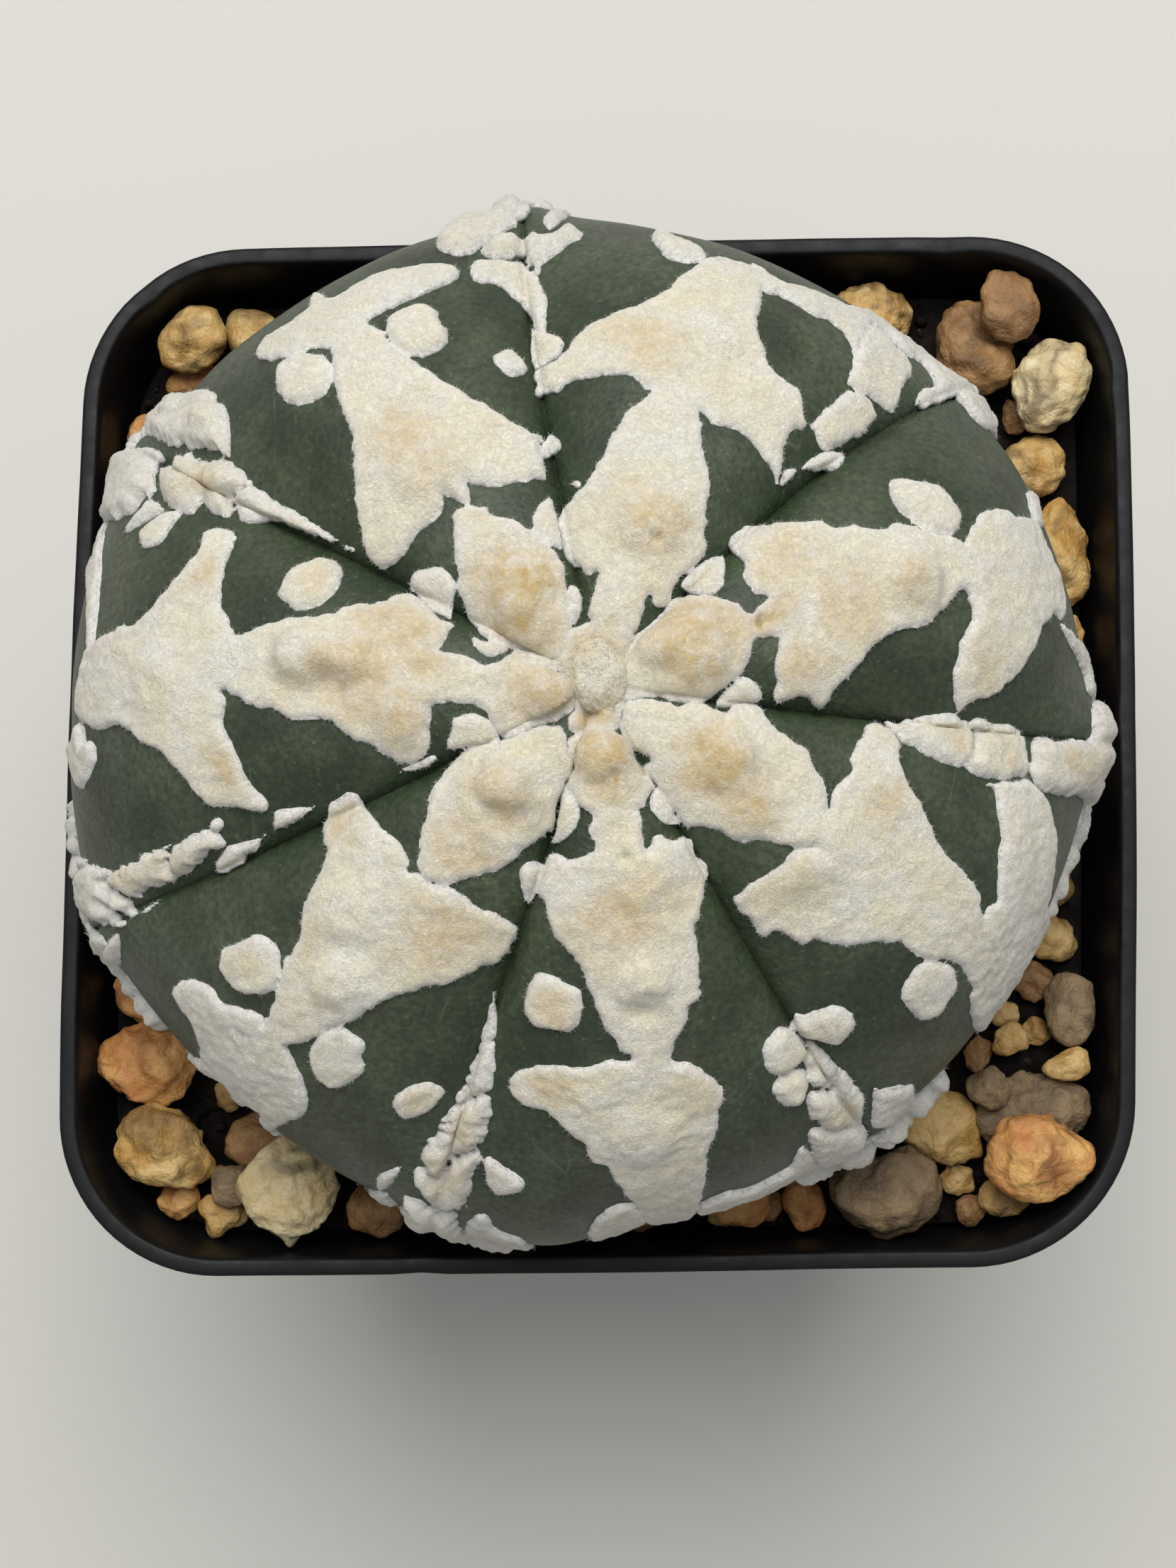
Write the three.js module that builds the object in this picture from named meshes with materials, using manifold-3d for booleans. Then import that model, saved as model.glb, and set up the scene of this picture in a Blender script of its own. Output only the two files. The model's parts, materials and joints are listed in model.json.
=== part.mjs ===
// A potted star cactus: a low, seven-ribbed dome growing in a square black plastic nursery pot,
// on soil dressed with coloured gravel. Millimetres, +Z up, the origin under the middle of the
// pot's foot, +Y the back. Every mesh is one closed solid, and touching pieces keep a hairline gap.

import * as THREE from "three";
import { mergeVertices } from "three/addons/utils/BufferGeometryUtils.js";
import Module from "manifold-3d";

// Pot
const POT_HEIGHT = 65;
const FOOT_HALF = 25; // half the width of the square foot
const BODY_TOP_HALF = 33.75; // half width that the tapering wall would have at rim height
const DEPTH_LOSS = 0.7; // the rim is this much shorter from middle to front than to the side
const FOOT_CORNER = 7; // corner radius of the wall at the foot
const TOP_CORNER = 9.2; // corner radius of the wall line at rim height
const COLLAR_INSIDE = -0.15; // inset of the collar's inner face; less than 0 is outward
const SIDE_BOW = 0.45; // how far the left and right sides bow out at the rim
const FRONT_BOW = 0.1;
const OUT_OF_SQUARE = 0.013; // soft plastic, pressed a little out of square towards the rim
const COLLAR_FOOT = 55.2; // height at which the stepped collar starts
const WALL = 1.0;
const FLOOR_UNDER = 2.0;
const FLOOR_TOP = 3.4;
const DRAIN_RADIUS = 3;
const DRAIN_REACH = 15.5; // corner drain holes, from the middle along X and Y
const NOTCH = { width: 12, height: 1.4 }; // air notch in the middle of each side of the foot

// Plant
const RIBS = 7;
const EQUATOR = { radius: 32.4, z: 71.5, x: -1.55, y: 1.05 };
const CROWN = { z: 91.5, x: 0.1, y: 0.6, dip: 0.8 }; // the crown leans off the middle
// Each groove's bearing in degrees from +X, near the crown and at the equator. Seen from above the
// plant is a rounded heptagon: how far outside the equator's circle its corner at the groove lies,
// and how far inside it the middle of the rib that follows.
const GROOVES = [
  { crown: -61, equator: -55, corner: -0.4, sink: 0.7 },
  { crown: -7, equator: -3, corner: 0.8, sink: 0.6 },
  { crown: 48, equator: 38, corner: 0, sink: 1.35 },
  { crown: 102, equator: 95, corner: 0.6, sink: 0.7 },
  { crown: 152, equator: 149, corner: 0.6, sink: 0.7 },
  { crown: 207, equator: 204, corner: 0.7, sink: 0.7 },
  { crown: 252, equator: 255, corner: 0.4, sink: 0.85 },
];
const GROOVE_DEPTH = 2.7;
const GROOVE_FILL = 2.2; // how much shallower the grooves are at the equator
const RIDGE_RISE = 0.7; // the small ridge that fills each groove towards the equator
const RIDGE_SPREAD = 2.0;
// The meridian under the equator, as radius and height, down to the taproot's tip.
const UNDERSIDE = [
  [31.9, 68.2],
  [30.4, 65.0],
  [27.9, 61.8],
  [24.4, 58.9],
  [19.6, 56.2],
  [14.0, 53.6],
  [9.4, 50.2],
  [6.2, 45.6],
  [3.8, 40.0],
  [2.0, 35.4],
];
const ROOT_TIP = 34.4;

// Soil and gravel
const SOIL_EDGE = 58.6; // height of the soil against the wall
const SOIL_GAP = 0.5; // clearance between soil and plant
const HAIR_GAP = 0.3; // clearance between other touching pieces
const STONE_GAP = 0.18; // clearance of a resting stone
const CELL = 0.15; // raster used to let the stones down onto the bed

// Colours and surface feel
const PAINTS = {
  pot: { color: 0x1b1c1e, roughness: 0.5 },
  soil: { color: 0x3a2c20, roughness: 0.95 },
  plant: { color: 0x3a4a37, roughness: 0.7 },
  golden: { color: 0xc9a05c, roughness: 0.6 },
  orange: { color: 0xc98a5a, roughness: 0.65 },
  brown: { color: 0x8a5f45, roughness: 0.7 },
  taupe: { color: 0x8d7a68, roughness: 0.65 },
  cream: { color: 0xdccfa8, roughness: 0.6 },
};

const wasm = await Module();
wasm.setup();

// Repeatable pseudo-random numbers from 0 to 1.
function randomFrom(seed) {
  let state = seed >>> 0;
  return () => {
    state = (Math.imul(state, 1664525) + 1013904223) >>> 0;
    return state / 4294967296;
  };
}

function smoothstep(low, high, x) {
  const t = Math.min(Math.max((x - low) / (high - low), 0), 1);
  return t * t * (3 - 2 * t);
}

function mix(a, b, t) {
  return a + (b - a) * t;
}

// Signed volume of an indexed geometry.
function volumeOf(geometry) {
  const p = geometry.attributes.position;
  const at = (i) => new THREE.Vector3().fromBufferAttribute(p, geometry.index.getX(i));
  let sum = 0;
  for (let i = 0; i < geometry.index.count; i += 3)
    sum += at(i).dot(at(i + 1).cross(at(i + 2))) / 6;
  return sum;
}

// Turns the faces round if they look inwards.
function facingOut(geometry) {
  if (volumeOf(geometry) < 0) {
    const index = geometry.index.array;
    for (let i = 0; i < index.length; i += 3)
      [index[i + 1], index[i + 2]] = [index[i + 2], index[i + 1]];
  }
  return geometry;
}

// A closed skin over a stack of rings with equal point counts, each end closed by a centre point.
function skinOver(rings, firstCentre, lastCentre) {
  const count = rings[0].length;
  const points = [...rings.flat(), firstCentre, lastCentre];
  const faces = [];
  for (let r = 0; r + 1 < rings.length; r++)
    for (let i = 0; i < count; i++) {
      const a = r * count + i;
      const b = r * count + ((i + 1) % count);
      faces.push(a, b, b + count, a, b + count, a + count);
    }
  const last = (rings.length - 1) * count;
  for (let i = 0; i < count; i++) {
    const j = (i + 1) % count;
    faces.push(rings.length * count, j, i, rings.length * count + 1, last + i, last + j);
  }
  const geometry = new THREE.BufferGeometry();
  geometry.setAttribute(
    "position",
    new THREE.Float32BufferAttribute(points.flatMap((v) => [v.x, v.y, v.z]), 3),
  );
  geometry.setIndex(new THREE.Uint32BufferAttribute(faces, 1));
  return facingOut(geometry);
}

function toSolid(geometry) {
  const bare = new THREE.BufferGeometry().setAttribute("position", geometry.attributes.position);
  if (geometry.index) bare.setIndex(geometry.index);
  const merged = mergeVertices(bare, 1e-4);
  return new wasm.Manifold(
    new wasm.Mesh({
      numProp: 3,
      vertProperties: Float32Array.from(merged.attributes.position.array),
      triVerts: Uint32Array.from(merged.index.array),
    }),
  );
}

function toGeometry(solid) {
  const mesh = solid.getMesh();
  const geometry = new THREE.BufferGeometry();
  geometry.setAttribute("position", new THREE.BufferAttribute(mesh.vertProperties, 3));
  geometry.setIndex(new THREE.BufferAttribute(mesh.triVerts, 1));
  return geometry;
}

function makeMesh(name, geometry, paint) {
  const { color, roughness } = PAINTS[paint];
  const material = new THREE.MeshStandardMaterial({ color, roughness, metalness: 0 });
  geometry.computeVertexNormals();
  const mesh = new THREE.Mesh(geometry, material);
  mesh.name = name;
  return mesh;
}

// Half width, half depth and corner radius of the pot at a height, set in from its wall line.
function potSection(z, inset) {
  const rise = z / POT_HEIGHT;
  const halfWidth = mix(FOOT_HALF, BODY_TOP_HALF, rise) - inset;
  return {
    rise,
    halfWidth,
    halfDepth: halfWidth - DEPTH_LOSS * rise,
    radius: mix(FOOT_CORNER, TOP_CORNER, rise) - inset,
  };
}

// One level ring of the pot's shape: a bowed, slightly skewed rounded rectangle.
function potRing(z, inset) {
  const CORNER_STEPS = 6;
  const SIDE_STEPS = 6;
  const { rise, halfWidth, halfDepth, radius } = potSection(z, inset);
  const flat = [];
  for (let corner = 0; corner < 4; corner++) {
    const sx = [1, -1, -1, 1][corner];
    const sy = [1, 1, -1, -1][corner];
    for (let i = 0; i < CORNER_STEPS; i++) {
      const a = ((corner + i / CORNER_STEPS) * Math.PI) / 2;
      flat.push([
        sx * (halfWidth - radius) + radius * Math.cos(a),
        sy * (halfDepth - radius) + radius * Math.sin(a),
      ]);
    }
    // the straight run from this corner to the next, walked round the pot
    const a = ((corner + 1) * Math.PI) / 2;
    const from = [
      sx * (halfWidth - radius) + radius * Math.cos(a),
      sy * (halfDepth - radius) + radius * Math.sin(a),
    ];
    const along =
      corner % 2 === 0 ? [-2 * sx * (halfWidth - radius), 0] : [0, -2 * sy * (halfDepth - radius)];
    for (let i = 0; i < SIDE_STEPS; i++) {
      const t = i / SIDE_STEPS;
      flat.push([from[0] + along[0] * t, from[1] + along[1] * t]);
    }
  }
  return flat.map(([x, y]) => {
    const bowed = x + (x / halfWidth) * SIDE_BOW * rise * (1 - (y / halfDepth) ** 2);
    const swollen = y + (y / halfDepth) * FRONT_BOW * rise * (1 - (x / halfWidth) ** 2);
    const skew = OUT_OF_SQUARE * rise;
    return new THREE.Vector3(bowed + skew * swollen, swollen + skew * bowed, z);
  });
}

// How far a point is outside the pot's ring at a height (negative inside).
function outsidePot(x, y, z, inset) {
  const { rise, halfWidth, halfDepth, radius } = potSection(z, inset);
  const skew = OUT_OF_SQUARE * rise;
  const [sx, sy] = [Math.abs(x - skew * y), Math.abs(y - skew * x)];
  const sideBow = SIDE_BOW * rise * Math.max(1 - (sy / halfDepth) ** 2, 0);
  const frontBow = FRONT_BOW * rise * Math.max(1 - (sx / halfWidth) ** 2, 0);
  const qx = sx - sideBow - halfWidth + radius;
  const qy = sy - frontBow - halfDepth + radius;
  return Math.hypot(Math.max(qx, 0), Math.max(qy, 0)) + Math.min(Math.max(qx, qy), 0) - radius;
}

function makePot() {
  // from under the floor, round the foot, up the outside, over the lip and down the inside
  const profile = [
    [FLOOR_UNDER, 1.9],
    [0, 1.8],
    [0, 0.25],
    [0.4, 0],
    [54.4, 0],
    [COLLAR_FOOT, -0.85],
    [63.7, -0.85],
    [64.1, -1.3],
    [64.7, -1.3],
    [POT_HEIGHT, -1.05],
    [POT_HEIGHT, COLLAR_INSIDE - 0.05],
    [64.6, COLLAR_INSIDE],
    [55.4, COLLAR_INSIDE],
    [54.7, WALL],
    [FLOOR_TOP + 0.6, WALL],
    [FLOOR_TOP, WALL + 0.8],
  ];
  const shell = toSolid(
    skinOver(
      profile.map(([z, inset]) => potRing(z, inset)),
      new THREE.Vector3(0, 0, FLOOR_UNDER),
      new THREE.Vector3(0, 0, FLOOR_TOP),
    ),
  );
  const cutters = [];
  const drain = new THREE.CylinderGeometry(DRAIN_RADIUS, DRAIN_RADIUS, 4, 20).rotateX(Math.PI / 2);
  const middle = (FLOOR_UNDER + FLOOR_TOP) / 2;
  for (const [sx, sy] of [[0, 0], [1, 1], [-1, 1], [-1, -1], [1, -1]])
    cutters.push(drain.clone().translate(sx * DRAIN_REACH, sy * DRAIN_REACH, middle));
  const notch = new THREE.BoxGeometry(NOTCH.width, 6, NOTCH.height * 2);
  for (let side = 0; side < 4; side++)
    cutters.push(notch.clone().translate(0, -FOOT_HALF, 0).rotateZ((side * Math.PI) / 2));
  const cut = cutters.reduce((solid, cutter) => solid.subtract(toSolid(cutter)), shell);
  return makeMesh("pot", toGeometry(cut), "pot");
}

// The plant's smooth meridian from crown to root: radius, height, centre and outward normal,
// with the depth of the grooves, the rise of the small ridges in them and how far the ring has
// turned into a heptagon.
function plantRings() {
  const steps = [0.035, 0.08, 0.14, 0.21, 0.29, 0.37, 0.45, 0.53, 0.61, 0.69, 0.77, 0.85, 0.92, 0.97, 1];
  const rings = steps.map((u) => {
    const a = (u * Math.PI) / 2;
    const radius = EQUATOR.radius * Math.sin(a) ** 0.92;
    const height = u < 1 ? Math.cos(a) ** 0.95 : 0;
    return {
      u,
      radius,
      z: mix(EQUATOR.z, CROWN.z, height) - CROWN.dip * Math.exp(-((radius / 4) ** 2)),
      x: mix(EQUATOR.x, CROWN.x, height ** 2),
      y: mix(EQUATOR.y, CROWN.y, height ** 2),
      depth: GROOVE_DEPTH * (1 - Math.exp(-u / 0.28)) - GROOVE_FILL * smoothstep(0.55, 1, u),
      ridge: RIDGE_RISE * smoothstep(0.45, 0.95, u),
      square: smoothstep(0.55, 1, u),
    };
  });
  for (const [radius, z] of UNDERSIDE) {
    const fade = smoothstep(57, 68, z);
    rings.push({
      u: 1,
      radius,
      z,
      x: EQUATOR.x,
      y: EQUATOR.y,
      depth: (GROOVE_DEPTH - GROOVE_FILL) * fade,
      ridge: RIDGE_RISE * fade,
      square: fade,
    });
  }
  rings.forEach((ring, i) => {
    const before = rings[Math.max(i - 1, 0)];
    const after = rings[Math.min(i + 1, rings.length - 1)];
    const normal = new THREE.Vector2(before.z - after.z, after.radius - before.radius).normalize();
    ring.out = i === 14 ? 1 : normal.x;
    ring.up = i === 14 ? 0 : normal.y;
  });
  return rings;
}

function makePlant() {
  // where the mesh lines lie between two grooves: close together at the folds
  const across = [0, 0.035, 0.08, 0.13, 0.2, 0.3, 0.4, 0.5, 0.6, 0.7, 0.8, 0.87, 0.92, 0.965];
  const rings = plantRings();
  const bearing = (groove, u) => {
    const turn = groove >= RIBS ? 360 : 0;
    const { crown, equator } = GROOVES[groove % RIBS];
    return ((mix(crown, equator, u) + turn) * Math.PI) / 180;
  };
  const skins = rings.map((ring) => {
    const points = [];
    for (let rib = 0; rib < RIBS; rib++)
      for (const f of across) {
        const from = bearing(rib, ring.u);
        const to = bearing(rib + 1, ring.u);
        const a = mix(from, to, f);
        const fromGroove = Math.min(f, 1 - f) * (to - from) * ring.radius;
        const side = Math.abs(2 * f - 1);
        const ridge = ring.ridge * Math.exp(-((fromGroove / RIDGE_SPREAD) ** 2));
        const { corner } = GROOVES[(rib + (f < 0.5 ? 0 : 1)) % RIBS];
        const heptagon = ring.square * mix(-GROOVES[rib].sink, corner, side ** 2);
        const rise = ridge + heptagon - ring.depth * side ** 2.6;
        const r = ring.radius + ring.out * rise;
        points.push(
          new THREE.Vector3(ring.x + r * Math.cos(a), ring.y + r * Math.sin(a), ring.z + ring.up * rise),
        );
      }
    return points;
  });
  const crown = new THREE.Vector3(CROWN.x, CROWN.y, CROWN.z - CROWN.dip);
  const tip = new THREE.Vector3(EQUATOR.x, EQUATOR.y, ROOT_TIP);
  return makeMesh("cactus_body", skinOver(skins, crown, tip), "plant");
}

// Radius of the plant's underside at a height, outside any ridge.
function plantRadiusAt(z) {
  const line = [[EQUATOR.radius, EQUATOR.z], ...UNDERSIDE, [0, ROOT_TIP]];
  if (z >= EQUATOR.z) return EQUATOR.radius;
  for (let i = 0; i + 1 < line.length; i++)
    if (z >= line[i + 1][1])
      return mix(line[i + 1][0], line[i][0], (z - line[i + 1][1]) / (line[i][1] - line[i + 1][1]));
  return 0;
}

function makeSoil() {
  const rings = [];
  for (const [z, inset] of [
    [FLOOR_TOP + HAIR_GAP, WALL + 1.5],
    [FLOOR_TOP + 1.2, WALL + HAIR_GAP],
    [54.7, WALL + HAIR_GAP],
    [55.9, COLLAR_INSIDE + HAIR_GAP],
    [SOIL_EDGE - 0.4, COLLAR_INSIDE + HAIR_GAP],
  ])
    rings.push(potRing(z, inset));
  // the lumpy top, from the wall in to the mouth of the hollow that the plant stands in
  const edge = potRing(SOIL_EDGE, COLLAR_INSIDE + HAIR_GAP + 0.3);
  const cavity = UNDERSIDE.filter(([, z]) => z < SOIL_EDGE).map(([radius, z]) => [
    radius + SOIL_GAP,
    z - 0.35,
  ]);
  const mouth = [plantRadiusAt(SOIL_EDGE + 0.4) + SOIL_GAP + 0.2, SOIL_EDGE + 0.4];
  const hollowRing = ([radius, z]) =>
    edge.map((p) => {
      const a = Math.atan2(p.y - EQUATOR.y, p.x - EQUATOR.x);
      return new THREE.Vector3(EQUATOR.x + radius * Math.cos(a), EQUATOR.y + radius * Math.sin(a), z);
    });
  const lip = hollowRing(mouth);
  rings.push(edge);
  for (const t of [0.25, 0.5, 0.75])
    rings.push(
      edge.map((p, i) => {
        const x = mix(p.x, lip[i].x, t);
        const y = mix(p.y, lip[i].y, t);
        const lump = 0.35 * Math.sin(0.55 * x + 1.3) * Math.cos(0.48 * y - 0.4);
        return new THREE.Vector3(x, y, SOIL_EDGE + 0.4 * t + lump);
      }),
    );
  rings.push(lip);
  for (const ring of cavity) rings.push(hollowRing(ring));
  const under = new THREE.Vector3(0, 0, FLOOR_TOP + HAIR_GAP);
  const bottom = new THREE.Vector3(EQUATOR.x, EQUATOR.y, ROOT_TIP - 0.6);
  return makeMesh("soil_bed", skinOver(rings, under, bottom), "soil");
}

// Gravel that can be seen between the plant and the wall: place, size along X and Y, turn in
// degrees, colour. Later stones lie on earlier ones where they overlap.
const STONES = [
  // back left corner
  { x: -31.6, y: 21.9, wide: 2.9, deep: 4, turn: 5, paint: "orange" },
  { x: -28, y: 26.1, wide: 4.3, deep: 2.8, turn: 15, paint: "orange" },
  { x: -24.3, y: 29.5, wide: 3.7, deep: 3.9, turn: 30, paint: "golden" },
  { x: -28.7, y: 29.2, wide: 4.6, deep: 5, turn: -20, paint: "golden" },
  // back right corner
  { x: 19.1, y: 31, wide: 6.1, deep: 4.9, turn: 10, paint: "golden" },
  { x: 32.9, y: 8.3, wide: 2.1, deep: 2.8, turn: 0, paint: "golden" },
  { x: 28.8, y: 23.4, wide: 2.2, deep: 2.6, turn: 0, paint: "brown" },
  { x: 25.8, y: 28, wide: 5.2, deep: 6.6, turn: 12, paint: "brown" },
  { x: 28.1, y: 30.6, wide: 3.9, deep: 5.2, turn: 20, paint: "brown" },
  { x: 32.1, y: 13.9, wide: 4.3, deep: 7.9, turn: -4, paint: "golden" },
  { x: 29.9, y: 20, wide: 4.6, deep: 4.3, turn: 35, paint: "golden" },
  { x: 31.7, y: 26, wide: 5.2, deep: 7.4, turn: -24, paint: "cream" },
  // front right corner
  { x: 29.9, y: -24.6, wide: 7.9, deep: 5.4, turn: 15, paint: "taupe" },
  { x: 23.5, y: -25.2, wide: 6.2, deep: 4.9, turn: -35, paint: "golden" },
  { x: 25.5, y: -20.3, wide: 2, deep: 2.5, turn: 0, paint: "brown" },
  { x: 30.7, y: -12.4, wide: 3.2, deep: 3.2, turn: 20, paint: "golden" },
  { x: 29.3, y: -15.5, wide: 2.8, deep: 2.6, turn: -30, paint: "brown" },
  { x: 27.2, y: -17.6, wide: 2.2, deep: 1.8, turn: 0, paint: "golden" },
  { x: 29.3, y: -18.9, wide: 2.1, deep: 2, turn: 30, paint: "golden" },
  { x: 31.5, y: -17.5, wide: 3.6, deep: 4.8, turn: 5, paint: "taupe" },
  { x: 30.5, y: -20.6, wide: 3.3, deep: 2.2, turn: 10, paint: "golden" },
  { x: 27.4, y: -19.4, wide: 2.6, deep: 2, turn: 30, paint: "golden" },
  { x: 26.2, y: -23, wide: 2.9, deep: 2.8, turn: -15, paint: "taupe" },
  { x: 24.1, y: -28.5, wide: 2.4, deep: 2.2, turn: 0, paint: "golden" },
  { x: 24.1, y: -30.8, wide: 2.1, deep: 2.2, turn: 0, paint: "brown" },
  { x: 26.8, y: -30.4, wide: 3.8, deep: 2.9, turn: 25, paint: "golden" },
  { x: 20.1, y: -30.2, wide: 7.1, deep: 5.6, turn: 8, paint: "taupe" },
  { x: 29.3, y: -27.6, wide: 7, deep: 5.8, turn: 12, paint: "orange" },
  { x: 13.8, y: -30.7, wide: 2.8, deep: 3.6, turn: 10, paint: "orange" },
  // along the front
  { x: 11, y: -30.5, wide: 2.3, deep: 2.2, turn: 0, paint: "brown" },
  { x: 8.2, y: -30.7, wide: 2.6, deep: 2.3, turn: 35, paint: "golden" },
  { x: 2.7, y: -31.3, wide: 2.3, deep: 1.9, turn: 0, paint: "brown" },
  // front left corner
  { x: -15.6, y: -31.7, wide: 4, deep: 3.5, turn: -10, paint: "brown" },
  { x: -32.5, y: -17.2, wide: 4.3, deep: 2.1, turn: -50, paint: "orange" },
  { x: -25.3, y: -23.1, wide: 2.1, deep: 2.3, turn: 0, paint: "golden" },
  { x: -23, y: -26, wide: 5, deep: 3.7, turn: 20, paint: "brown" },
  { x: -28.7, y: -30.3, wide: 3.1, deep: 2.9, turn: 0, paint: "orange" },
  { x: -26, y: -31.7, wide: 3.4, deep: 2.9, turn: 10, paint: "golden" },
  { x: -24.8, y: -29.1, wide: 2.8, deep: 2.9, turn: 0, paint: "taupe" },
  { x: -30.5, y: -21.3, wide: 6.8, deep: 5.5, turn: 8, paint: "orange" },
  { x: -21.2, y: -30, wide: 6.3, deep: 6.6, turn: -30, paint: "cream" },
  { x: -29.2, y: -26.6, wide: 7, deep: 5.4, turn: -24, paint: "golden" },
];

// Gravel along the middle of each side, under the plant's overhang: the same spacing on all four.
const SIDE_PAINTS = ["golden", "taupe", "orange"];
for (let side = 0; side < 4; side++)
  for (let i = 0; i < 3; i++) {
    const a = (side * Math.PI) / 2;
    const along = (i - 1) * 7.5 + side - 1.5;
    STONES.push({
      x: 30.2 * Math.cos(a) - along * Math.sin(a),
      y: 30.2 * Math.sin(a) + along * Math.cos(a),
      wide: 3.4 + 0.5 * ((i + side) % 3),
      deep: 3.2 + 0.4 * ((i + 2 * side) % 2),
      turn: 25 * i + 40 * side,
      paint: SIDE_PAINTS[(i + side) % 3],
    });
  }

// A worn, faceted pebble of unit size, about its own middle.
function pebble(random) {
  const geometry = mergeVertices(
    new THREE.BufferGeometry().setAttribute(
      "position",
      new THREE.IcosahedronGeometry(1, 1).attributes.position,
    ),
    1e-4,
  );
  const facets = Array.from({ length: 7 }, () => {
    const z = mix(-0.8, 0.9, random());
    const a = random() * 2 * Math.PI;
    const flat = Math.sqrt(1 - z * z);
    const normal = new THREE.Vector3(flat * Math.cos(a), flat * Math.sin(a), z);
    return { normal, reach: mix(0.72, 0.92, random()) };
  });
  const p = geometry.attributes.position;
  const v = new THREE.Vector3();
  for (let i = 0; i < p.count; i++) {
    v.fromBufferAttribute(p, i).multiplyScalar(mix(0.92, 1.08, random()));
    for (const { normal, reach } of facets) {
      const over = v.dot(normal) - reach;
      if (over > 0) v.addScaledVector(normal, -0.85 * over);
    }
    p.setXYZ(i, v.x, v.y, v.z);
  }
  geometry.computeBoundingBox();
  const size = geometry.boundingBox.getSize(new THREE.Vector3());
  return geometry.center().scale(1 / size.x, 1 / size.y, 1 / size.z);
}

// A square raster over the pot that keeps the highest point reached so far.
class Bed {
  constructor() {
    this.half = 36;
    this.count = Math.round((2 * this.half) / CELL);
    this.top = new Float32Array(this.count * this.count).fill(-Infinity);
  }

  // Calls visit(cell, z) for every cell centre under each triangle.
  walk(geometry, visit) {
    const p = geometry.attributes.position;
    const index = geometry.index;
    const corner = [0, 1, 2].map(() => new THREE.Vector3());
    for (let t = 0; t < index.count; t += 3) {
      corner.forEach((c, k) => c.fromBufferAttribute(p, index.getX(t + k)));
      const [a, b, c] = corner;
      const area = (b.x - a.x) * (c.y - a.y) - (c.x - a.x) * (b.y - a.y);
      if (Math.abs(area) < 1e-9) continue;
      const low = (k) => Math.floor((Math.min(a[k], b[k], c[k]) + this.half) / CELL);
      const high = (k) => Math.ceil((Math.max(a[k], b[k], c[k]) + this.half) / CELL);
      for (let j = Math.max(low("y"), 0); j <= Math.min(high("y"), this.count - 1); j++)
        for (let i = Math.max(low("x"), 0); i <= Math.min(high("x"), this.count - 1); i++) {
          const x = (i + 0.5) * CELL - this.half;
          const y = (j + 0.5) * CELL - this.half;
          const u = ((x - a.x) * (c.y - a.y) - (c.x - a.x) * (y - a.y)) / area;
          const v = ((b.x - a.x) * (y - a.y) - (x - a.x) * (b.y - a.y)) / area;
          if (u < -0.02 || v < -0.02 || u + v > 1.02) continue;
          visit(j * this.count + i, a.z + u * (b.z - a.z) + v * (c.z - a.z));
        }
    }
  }

  lay(geometry) {
    this.walk(geometry, (cell, z) => {
      this.top[cell] = Math.max(this.top[cell], z);
    });
  }

  // How far a geometry must be lifted to clear everything below it by the gap.
  lift(geometry, gap) {
    let need = -Infinity;
    const n = this.count;
    this.walk(geometry, (cell, z) => {
      for (const near of [cell, cell - 1, cell + 1, cell - n, cell + n])
        if (this.top[near] > -Infinity) need = Math.max(need, this.top[near] - z);
    });
    return need + gap;
  }
}

// The shape let down at a place until it rests on whatever lies below.
function restAt(bed, shape, x, y) {
  const settled = shape.clone().translate(x, y, 0);
  return settled.translate(0, 0, bed.lift(settled, STONE_GAP));
}

// Which way, if any, a resting stone has to move to clear the wall and the plant.
function crowding(settled) {
  const p = settled.attributes.position;
  const push = new THREE.Vector2();
  for (let i = 0; i < p.count; i++) {
    const [x, y, z] = [p.getX(i), p.getY(i), p.getZ(i)];
    if (outsidePot(x, y, z, z < 55.2 ? WALL + HAIR_GAP : COLLAR_INSIDE + STONE_GAP) > 0) {
      push.x -= x / 36;
      push.y -= y / 36;
    }
    const [dx, dy] = [x - EQUATOR.x, y - EQUATOR.y];
    if (Math.hypot(dx, dy) < plantRadiusAt(z + 0.4) + 1.2) {
      push.x += dx / 36;
      push.y += dy / 36;
    }
  }
  return push;
}

// Lets each stone roll a little way down into the lowest place near its own, clear of the wall
// and of the plant's overhang.
function makeStones(soil) {
  const bed = new Bed();
  bed.lay(soil.geometry);
  return STONES.map((stone, number) => {
    const { wide, deep, turn, paint } = stone;
    const random = randomFrom(977 + number * 131);
    const tall = (0.52 + 0.16 * random()) * Math.sqrt(wide * deep);
    const shape = pebble(random)
      .scale(wide, deep, tall)
      .rotateZ((turn * Math.PI) / 180);
    const place = new THREE.Vector2(stone.x, stone.y);
    for (let tries = 0; tries < 80; tries++) {
      const push = crowding(restAt(bed, shape, place.x, place.y));
      if (push.length() === 0) break;
      place.add(push.setLength(0.12));
      if (tries % 10 === 9) shape.scale(0.94, 0.94, 0.94);
    }
    let best = restAt(bed, shape, place.x, place.y);
    let lowest = best.attributes.position.getZ(0);
    for (const reach of [0.35, 0.7])
      for (let k = 0; k < 8; k++) {
        const [dx, dy] = [reach * Math.cos((k * Math.PI) / 4), reach * Math.sin((k * Math.PI) / 4)];
        const rolled = restAt(bed, shape, place.x + dx, place.y + dy);
        const z = rolled.attributes.position.getZ(0) + 0.5 * reach;
        if (z < lowest && crowding(rolled).length() === 0) [best, lowest] = [rolled, z];
      }
    bed.lay(best);
    return makeMesh("stone_" + String(number + 1).padStart(2, "0"), best, paint);
  });
}

const group = new THREE.Group();
group.name = "potted_star_cactus";
const soil = makeSoil();
group.add(makePot(), soil, makePlant(), ...makeStones(soil));

export default group;
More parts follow.
